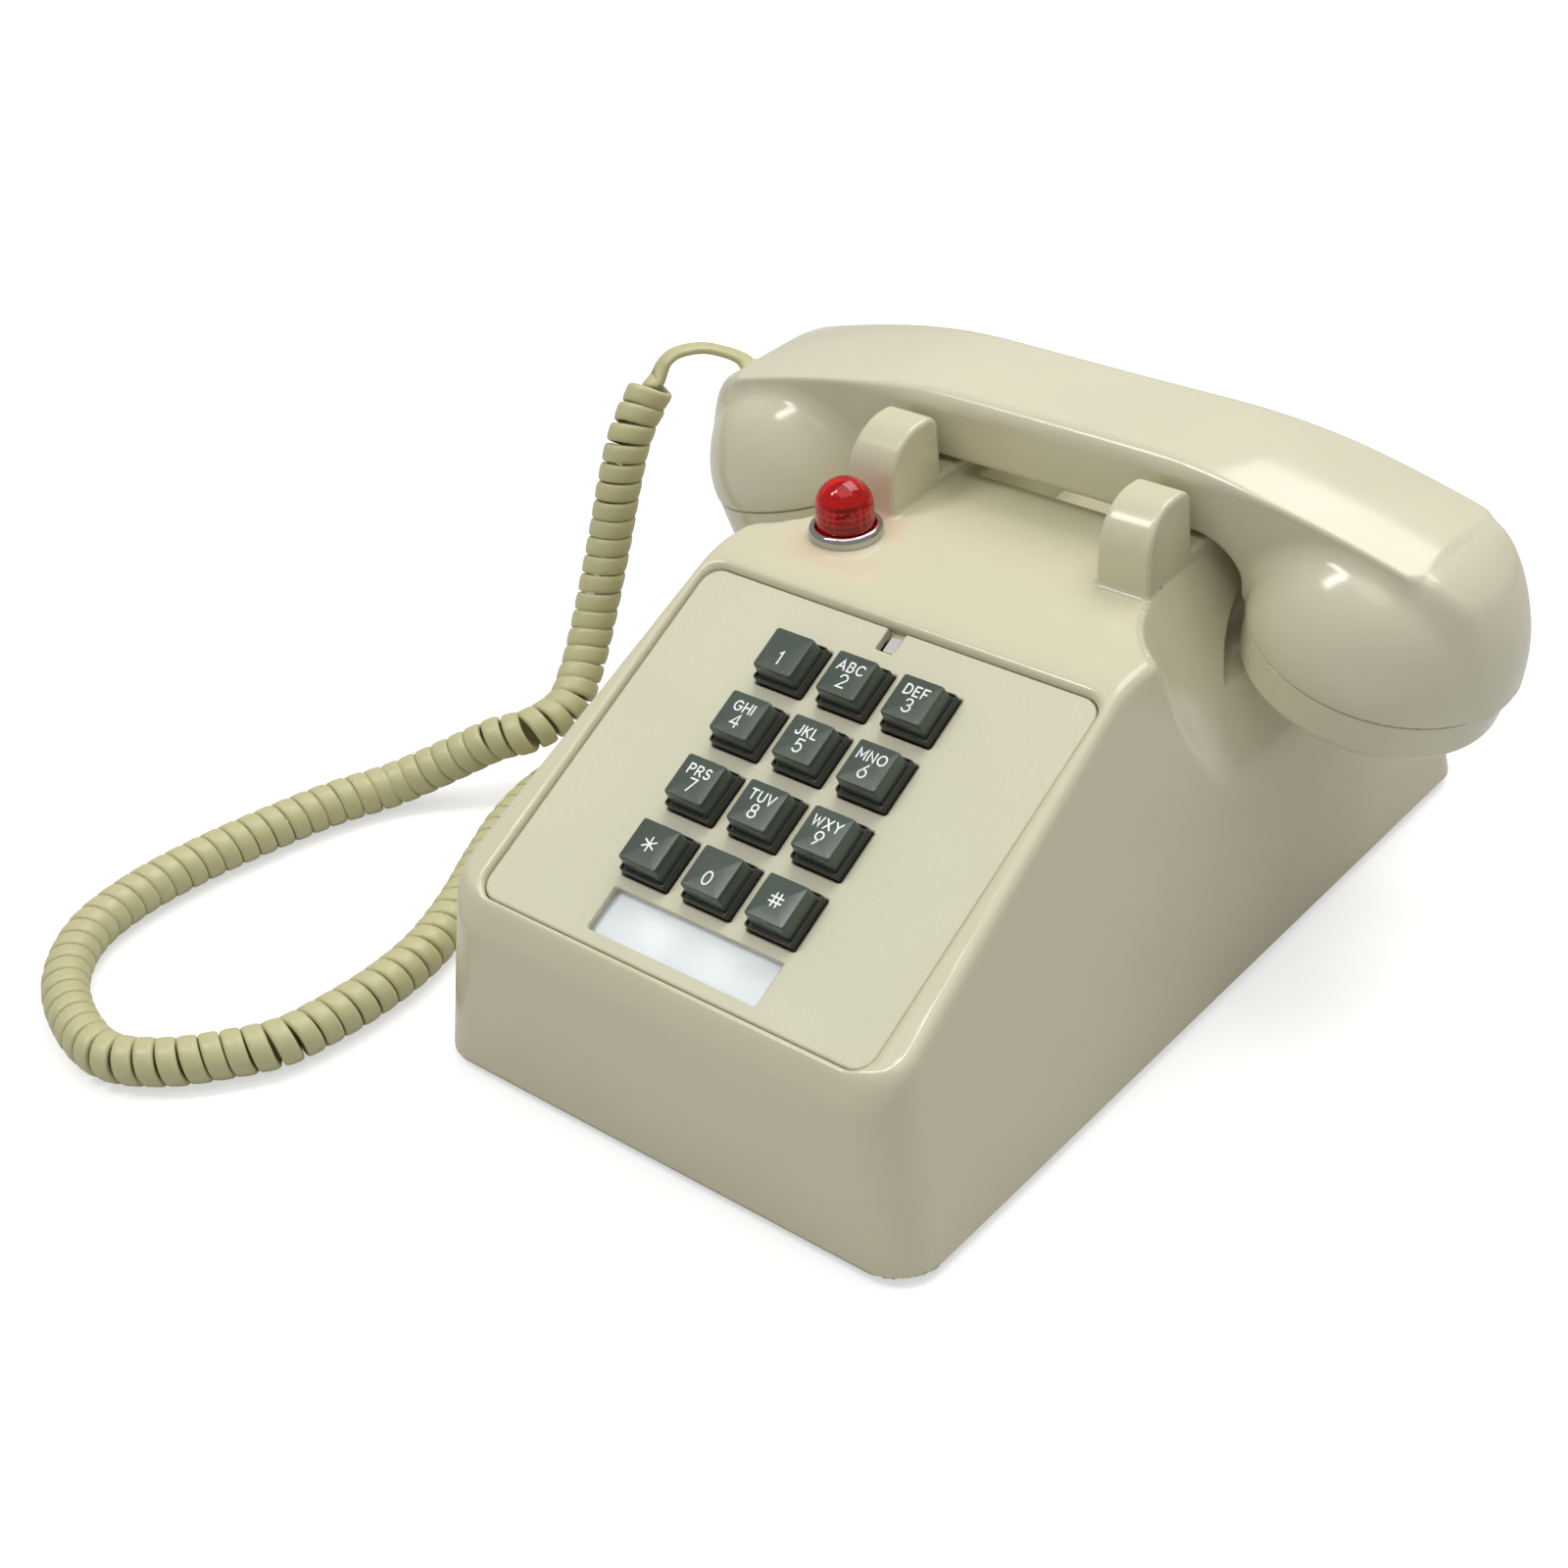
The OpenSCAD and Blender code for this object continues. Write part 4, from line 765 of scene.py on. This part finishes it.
# One-line characters in a box 1 high: each is its width and its strokes
glyphs = {
    "0": (0.62, [arc(0.31, 0.5, 0.31, 0.5, 90, 450, 28)]),
    "1": (0.22, [[(0, 0.84), (0.2, 1), (0.2, 0)]]),
    "2": (0.6, [arc(0.3, 0.7, 0.3, 0.3, 170, -20, 14) + [(0.02, 0), (0.62, 0)]]),
    "3": (0.6, [arc(0.28, 0.75, 0.26, 0.25, 160, -90, 14) + arc(0.29, 0.26, 0.31, 0.26, 90, -160, 14)]),
    "4": (0.66, [[(0.5, 0), (0.5, 1), (0, 0.3), (0.68, 0.3)]]),
    "5": (0.6, [[(0.56, 1), (0.1, 1), (0.05, 0.56)] + arc(0.29, 0.33, 0.31, 0.33, 130, -150, 16)]),
    "6": (0.6, [[(0.46, 1), (0.08, 0.5)] + arc(0.3, 0.31, 0.3, 0.31, 150, -210, 24)]),
    "7": (0.58, [[(0, 1), (0.6, 1), (0.2, 0)]]),
    "8": (0.6, [arc(0.3, 0.75, 0.25, 0.25, -90, 270, 22), arc(0.3, 0.26, 0.3, 0.26, 90, 450, 22)]),
    "9": (0.6, [arc(0.3, 0.69, 0.3, 0.31, -30, 330, 24) + [(0.52, 0.5), (0.14, 0)]]),
    "star": (1.0, [[(0.5, 1), (0.5, 0)], [(0.07, 0.75), (0.93, 0.25)], [(0.07, 0.25), (0.93, 0.75)]]),
    "hash": (0.9, [[(0.28, 0.95), (0.28, 0.05)], [(0.62, 0.95), (0.62, 0.05)], [(0, 0.67), (0.9, 0.67)],
                   [(0, 0.33), (0.9, 0.33)]]),
    "A": (0.8, [[(0, 0), (0.4, 1), (0.8, 0)], [(0.13, 0.33), (0.67, 0.33)]]),
    "B": (0.62, [[(0, 0), (0, 1)] + [(0.3, 1)] + arc(0.32, 0.77, 0.24, 0.23, 90, -90, 10) + [(0, 0.54), (0.32, 0.54)]
                 + arc(0.34, 0.27, 0.27, 0.27, 90, -90, 10) + [(0, 0)]]),
    "C": (0.72, [arc(0.42, 0.5, 0.42, 0.5, 45, 315, 20)]),
    "D": (0.7, [[(0, 0), (0, 1), (0.26, 1)] + arc(0.26, 0.5, 0.44, 0.5, 90, -90, 16) + [(0, 0)]]),
    "E": (0.55, [[(0.55, 1), (0, 1), (0, 0), (0.55, 0)], [(0, 0.52), (0.46, 0.52)]]),
    "F": (0.52, [[(0.54, 1), (0, 1), (0, 0)], [(0, 0.5), (0.44, 0.5)]]),
    "G": (0.8, [arc(0.43, 0.5, 0.43, 0.5, 45, 330, 20) + [(0.83, 0.47), (0.48, 0.47)]]),
    "H": (0.66, [[(0, 0), (0, 1)], [(0.66, 0), (0.66, 1)], [(0, 0.52), (0.66, 0.52)]]),
    "I": (0.02, [[(0, 0), (0, 1)]]),
    "J": (0.5, [[(0.48, 1), (0.48, 0.27)] + arc(0.24, 0.26, 0.24, 0.26, 0, -180, 12)]),
    "K": (0.62, [[(0, 0), (0, 1)], [(0.6, 1), (0, 0.4)], [(0.2, 0.6), (0.64, 0)]]),
    "L": (0.5, [[(0, 1), (0, 0), (0.5, 0)]]),
    "M": (0.84, [[(0, 0), (0, 1), (0.42, 0.25), (0.84, 1), (0.84, 0)]]),
    "N": (0.68, [[(0, 0), (0, 1), (0.68, 0), (0.68, 1)]]),
    "O": (0.86, [arc(0.43, 0.5, 0.43, 0.5, 90, 450, 26)]),
    "P": (0.6, [[(0, 0), (0, 1), (0.32, 1)] + arc(0.32, 0.74, 0.27, 0.26, 90, -90, 12) + [(0, 0.48)]]),
    "R": (0.62, [[(0, 0), (0, 1), (0.32, 1)] + arc(0.32, 0.74, 0.27, 0.26, 90, -90, 12) + [(0, 0.48)],
                 [(0.3, 0.48), (0.62, 0)]]),
    "S": (0.6, [arc(0.3, 0.75, 0.27, 0.25, 30, 270, 14) + arc(0.3, 0.26, 0.3, 0.26, 90, -150, 14)]),
    "T": (0.66, [[(0, 1), (0.66, 1)], [(0.33, 1), (0.33, 0)]]),
    "U": (0.66, [[(0, 1), (0, 0.33)] + arc(0.33, 0.33, 0.33, 0.33, 180, 360, 14) + [(0.66, 1)]]),
    "V": (0.72, [[(0, 1), (0.36, 0), (0.72, 1)]]),
    "W": (1.0, [[(0, 1), (0.24, 0), (0.5, 0.85), (0.76, 0), (1.0, 1)]]),
    "X": (0.7, [[(0, 0), (0.7, 1)], [(0, 1), (0.7, 0)]]),
    "Y": (0.7, [[(0, 1), (0.35, 0.5), (0.7, 1)], [(0.35, 0.5), (0.35, 0)]]),
}


# Lays out a word as strokes centred on (x, y), in mm
def wordStrokes(marks, height, x, y, gap=0.36):
    widths = [glyphs[m][0] * height for m in marks]
    at = x - (sum(widths) + gap * height * (len(marks) - 1)) / 2
    out = []
    for m, w in zip(marks, widths):
        for stroke in glyphs[m][1]:
            out.append([(at + u * height, y + (v - 0.5) * height) for u, v in stroke])
        at += w + gap * height
    return out


# Flat painted ribbons with round ends, a hair above the key top
def strokeMesh(name, strokes, width, toWorld, n):
    verts, faces = [], []
    half = width / 2
    for layer, line in enumerate(strokes):
        n2 = n + 0.002 * layer
        pts = [np.array(p) for p in line]
        keep = [pts[0]]
        for p in pts[1:]:
            if np.linalg.norm(p - keep[-1]) > 0.02:
                keep.append(p)
        left, right = [], []
        count = len(keep)
        closed = np.linalg.norm(keep[0] - keep[-1]) < 0.03
        for i, p in enumerate(keep):
            before = keep[i] - keep[i - 1] if i else (keep[-1] - keep[-2] if closed else keep[1] - keep[0])
            after = keep[i + 1] - keep[i] if i < count - 1 else (keep[1] - keep[0] if closed else before)
            before, after = before / np.linalg.norm(before), after / np.linalg.norm(after)
            mid = before + after
            if np.linalg.norm(mid) < 0.25:
                mid = before
            mid = mid / np.linalg.norm(mid)
            side = np.array([-mid[1], mid[0]])
            stretch = half / max(0.45, abs(side @ np.array([-before[1], before[0]])))
            left.append(p + side * stretch)
            right.append(p - side * stretch)
        base = len(verts)
        verts += [toWorld(*p, n2) for p in left] + [toWorld(*p, n2) for p in right]
        faces += [(base + count + i, base + count + i + 1, base + i + 1, base + i) for i in range(count - 1)]
        for p in (() if closed else (keep[0], keep[-1])):
            base = len(verts)
            verts += [toWorld(p[0] + half * math.cos(a), p[1] + half * math.sin(a), n2 + 0.001)
                      for a in np.linspace(0, 2 * math.pi, 16, endpoint=False)]
            faces.append(tuple(range(base, base + 16)))
    data = bpy.data.meshes.new(name)
    data.from_pydata([tuple(v) for v in verts], [], faces)
    return data


for i, mark in enumerate(keypad["names"]):
    row, column = divmod(i, 3)
    x, v = (column - 1) * keypad["pitch"][0], (1.5 - row) * keypad["pitch"][1]
    spot = lambda a, b, c, x=x, v=v: onPanel(x + a, v + b, c)
    node = "key_" + mark
    newPiece("key." + mark, stackMesh("key." + mark, keyLevels, spot, keypad["dish"]), ("keySkirt", "keyGreyGreen"),
             bodyOf(node), (node,))
    if mark in keypad["letters"] or mark in "10":
        strokes = wordStrokes(keypad["letters"].get(mark, ""), keypad["letterHeight"], 0, keypad["letterAt"])
        strokes += wordStrokes([mark], keypad["digitHeight"], 0, keypad["digitAt"])
    else:
        strokes = wordStrokes([mark], keypad["signHeight"], 0, 0)
    top = keyLevels[-1][3] + keypad["lift"]
    newPiece("legend." + mark, strokeMesh("legend." + mark, strokes, keypad["stroke"], spot, top), "legendWhite",
             bodyOf(node))
print("keys and legends made")


# Surface of revolution about +Z from (radius, height) in mm; warp(angle, r, z) may change the radius
def latheMesh(name, profile, centre, around, warp=None):
    verts, faces = [], []
    for r, z in profile:
        for j in range(around):
            a = 2 * math.pi * j / around
            q = warp(a, r, z) if warp else r
            verts.append(tuple(atBody((centre[0] + q * math.cos(a), centre[1] + q * math.sin(a), centre[2] + z))))
    for i in range(len(profile) - 1):
        for j in range(around):
            faces.append((i * around + j, i * around + (j + 1) % around, (i + 1) * around + (j + 1) % around,
                          (i + 1) * around + j))
    data = bpy.data.meshes.new(name)
    data.from_pydata(verts, [], faces)
    for f in data.polygons:
        f.use_smooth = True
    tidy = bmesh.new()
    tidy.from_mesh(data)
    bmesh.ops.remove_doubles(tidy, verts=tidy.verts, dist=1e-6)
    bmesh.ops.recalc_face_normals(tidy, faces=tidy.faces)
    tidy.to_mesh(data)
    tidy.free()
    data.set_sharp_from_angle(angle=math.radians(40))
    return data


lamp = {
    "centre": (-34.3, 119.8, 91.8), "radius": 7.0, "inner": 5.7, "straight": 7.5, "foot": -3, "ribs": 20,
    "ribDepth": 0.32, "ringDepth": 0.2, "ringTurn": 3.9,
}


def lensProfile(s):
    def dome(r, angles):
        return [(r * math.cos(a), s["straight"] + r * math.sin(a)) for a in angles]
    top = math.pi / 2 - 0.002
    out = [(s["inner"], s["foot"]), (s["radius"], s["foot"]), (s["radius"], s["straight"])]
    out += dome(s["radius"], np.linspace(0.05, top, 22)) + dome(s["inner"], np.linspace(top, 0, 18))
    out += [(s["inner"], z) for z in np.linspace(s["straight"] - 0.25, -2.2, 34)]
    return out + [(s["inner"], s["foot"])]


# Ribs and rings inside the lens, fading out towards the dome
def lensRibs(a, r, z):
    if r > lamp["inner"] + 0.01 or z < -2.5 or r < 1:
        return r
    fade = 1 - ease(lamp["straight"] - 1, lamp["straight"] + 3.5, z)
    ring = lamp["ringDepth"] * math.sin(z * lamp["ringTurn"])
    return r - fade * (lamp["ribDepth"] * (0.5 - 0.5 * math.cos(lamp["ribs"] * a)) + ring)


newPiece("lampLens", latheMesh("lampLens", lensProfile(lamp), lamp["centre"], 160, lensRibs), "redLens",
         bodyOf("lamp_lens"), ("lamp_lens",))
ringProfile = [(7.1, -8), (7.8, -8), (7.8, -0.02), (8.95, 0.0), (9.0, 0.15), (9.0, 1.3), (8.94, 1.75), (8.8, 2.15),
               (8.56, 2.5), (8.25, 2.75), (7.9, 2.86), (7.6, 2.8), (7.36, 2.6), (7.2, 2.3), (7.12, 1.9), (7.1, 1.2),
               (7.1, -8)]
newPiece("lampRing", latheMesh("lampRing", ringProfile, lamp["centre"], 128), "chrome", bodyOf("lamp_bezel"),
         ("lamp_bezel",))
print("lamp made")


cordRoute = {
    "lead": [[-107, 170, 96.35], [-109.4, 169.9, 98.04], [-112.4, 167.8, 100], [-116.5, 163, 102.4],
             [-120, 157, 102.8], [-121.6, 153.2, 101], [-121.8, 151.8, 98.5]],
    "coil": [[-122, 151, 97.5], [-123.5, 146, 92], [-124.5, 140, 84], [-125.5, 135, 72], [-126.5, 131, 60],
             [-127, 126, 48], [-127, 120, 36], [-125.5, 112, 26], [-123.5, 103, 20.5], [-126, 92, 18.5],
             [-133, 86, 16.5], [-141, 80, 12], [-149, 73, 7.6], [-156, 65, 4.6], [-163, 51, 4.3], [-168, 35, 4.3],
             [-173, 14, 4.3], [-175, -6, 4.3], [-172, -24, 4.3], [-161, -39, 4.3], [-145, -48, 4.3],
             [-129, -51, 4.3], [-116, -45, 4.3], [-106, -35, 4.3], [-98, -24, 4.3], [-95, -12, 4.3],
             [-93.5, 3, 4.3], [-95, 20, 4.3], [-101, 38, 4.3], [-109, 55, 4.3], [-116, 72, 4.3], [-119, 90, 4.3],
             [-113, 106, 4.3], [-103, 117, 4.5], [-93, 124, 5]],
    "tail": [[-93, 124, 5], [-89.5, 126.6, 6], [-84.5, 128, 7.2], [-79.5, 128, 7.6]],
    "coilRadius": 5.95,
    "flatWidth": 4.9,
    "flatThick": 2.2,
    "turn": 5.15,
    "stepsPerTurn": 18,
    "around": 14,
    "bends": ((-0.126, 0.0, 0.024), (-0.126, 0.0, 0.100)),
}


# A curve through all the points
def smoothLine(points, spacing):
    p = np.array(points, float)
    p = np.vstack([2 * p[0] - p[1], p, 2 * p[-1] - p[-2]])
    out = []
    for i in range(1, len(p) - 2):
        a, b, c, d = p[i - 1], p[i], p[i + 1], p[i + 2]
        n = max(2, int(np.linalg.norm(c - b) / spacing))
        for t in np.arange(n) / n:
            out.append(0.5 * (2 * b + (c - a) * t + (2 * a - 5 * b + 4 * c - d) * t * t
                              + (3 * b - a - 3 * c + d) * t ** 3))
    out.append(p[-2])
    return np.array(out)


# Points at even steps along a line, and the line's length
def evenly(line, count):
    away = np.concatenate([[0], np.cumsum(np.linalg.norm(np.diff(line, axis=0), axis=1))])
    at = np.linspace(0, away[-1], count)
    return np.stack([np.interp(at, away, line[:, k]) for k in range(3)], 1), away[-1]


# Frames that follow the line without twisting
def carriedFrames(line):
    tangents = np.gradient(line, axis=0)
    tangents /= np.linalg.norm(tangents, axis=1)[:, None]
    side = np.cross((0, 0, 1.0), tangents[0])
    side /= np.linalg.norm(side)
    sides = [side]
    for i in range(1, len(line)):
        s = sides[-1] - tangents[i] * (sides[-1] @ tangents[i])
        sides.append(s / np.linalg.norm(s))
    sides = np.array(sides)
    return tangents, sides, np.cross(tangents, sides)


def makeCord(r):
    lead, axis, tail = (smoothLine(r[part], 0.5) + ownCorner for part in ("lead", "coil", "tail"))
    radius = r["coilRadius"] - r["flatThick"] / 2
    turns = round(evenly(axis, 1200)[1] / r["turn"])
    count = turns * r["stepsPerTurn"]
    fine = evenly(axis, count)[0]
    tangents, sideA, sideB = carriedFrames(fine)
    angle = np.arange(count) * 2 * math.pi / r["stepsPerTurn"]
    grow = ease(0, r["stepsPerTurn"], np.minimum(np.arange(count), np.arange(count)[::-1]))
    outward = np.cos(angle)[:, None] * sideA + np.sin(angle)[:, None] * sideB
    wire = fine + outward * (radius * grow)[:, None]
    centre = np.vstack([lead[:-4], wire[3:-3], tail[4:]])
    # the flat side faces outward on the coil, and sideways on the straight ends
    upward = np.array([[0, 0, 1.0]])
    facing = np.vstack([upward.repeat(len(lead) - 4, 0), outward[3:-3], upward.repeat(len(tail) - 4, 0)])
    along = np.gradient(centre, axis=0)
    along /= np.linalg.norm(along, axis=1)[:, None]
    facing = facing - along * np.sum(facing * along, axis=1)[:, None]
    lengths = np.linalg.norm(facing, axis=1)
    for i in range(1, len(facing)):
        if lengths[i] < 0.2:
            facing[i] = facing[i - 1]
    facing /= np.linalg.norm(facing, axis=1)[:, None]
    for i in range(1, len(facing)):          # ease the turn from the straight ends into the coil
        blendIn = 0.5 if i < len(lead) + 40 or i > len(facing) - len(tail) - 40 else 1.0
        v = facing[i - 1] * (1 - blendIn) + facing[i] * blendIn
        v -= along[i] * (v @ along[i])
        facing[i] = v / np.linalg.norm(v)
    wide = np.cross(along, facing)
    ring = r["around"]
    verts = []
    for k in range(ring):
        ca, sa = math.cos(2 * math.pi * k / ring), math.sin(2 * math.pi * k / ring)
        w = math.copysign(abs(ca) ** 0.6, ca) * r["flatWidth"] / 2
        h = math.copysign(abs(sa) ** 0.65, sa) * r["flatThick"] / 2
        verts.append(centre + wide * w + facing * h)
    verts = np.stack(verts, 1).reshape(-1, 3) * mm
    n = len(centre)
    faces = [(i * ring + k, i * ring + (k + 1) % ring, (i + 1) * ring + (k + 1) % ring, (i + 1) * ring + k)
             for i in range(n - 1) for k in range(ring)]
    faces += [tuple(range(ring))[::-1], tuple((n - 1) * ring + k for k in range(ring))]
    data = bpy.data.meshes.new("handsetCord")
    data.from_pydata(verts.tolist(), [], faces)
    for f in data.polygons:
        f.use_smooth = True
    piece = newPiece("handsetCord", data, "cordVinyl", None, ("cord_lead", "coil_cord", "cord_tail"))
    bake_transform(piece)


makeCord(cordRoute)
print("cord made")

# Finishes of the nodes shown as they are, and of those that a piece above stands for; the rest are keys
nodesIn = {
    "beigeGloss": "housing",
    "handsetGloss": "handset_shell transmitter_cap receiver_cap",
    "plateStipple": "faceplate",
    "frostedTab": "faceplate_latch",
    "clearPlastic": "card_window cord_plug",
    "cardPaper": "number_card",
    "chrome": "lamp_bezel",
    "redLens": "lamp_lens",
    "bulbGlass": "lamp_bulb",
    "blackMoulding": "lamp_socket handset_jack line_jack receiver_unit",
    "nylon": "keypad_frame plunger_left plunger_right volume_wheel",
    "boardGreen": "keypad_board",
    "phenolic": "hook_contacts network_terminals",
    "copperWinding": "ringer_coil",
    "spunBrass": "gong_high gong_low",
    "softRubber": "rubber_feet",
    "cordVinyl": "cord_grommet cord_lead coil_cord cord_tail",
    "zincSteel": "base_plate base_screws lamp_nut keypad_screws hook_lever hook_bracket network_block ringer_frame "
                 "gong_screws clapper transmitter_unit",
}
finishOf = {nodeName: finish for finish, names in nodesIn.items() for nodeName in names.split()}
for nodeName, node in frame["nodes"].items():
    finish = finishOf.get(nodeName, "keyGreyGreen")
    node.data.materials.clear()
    node.data.materials.append(paints[finish])
print("CAD nodes finished")
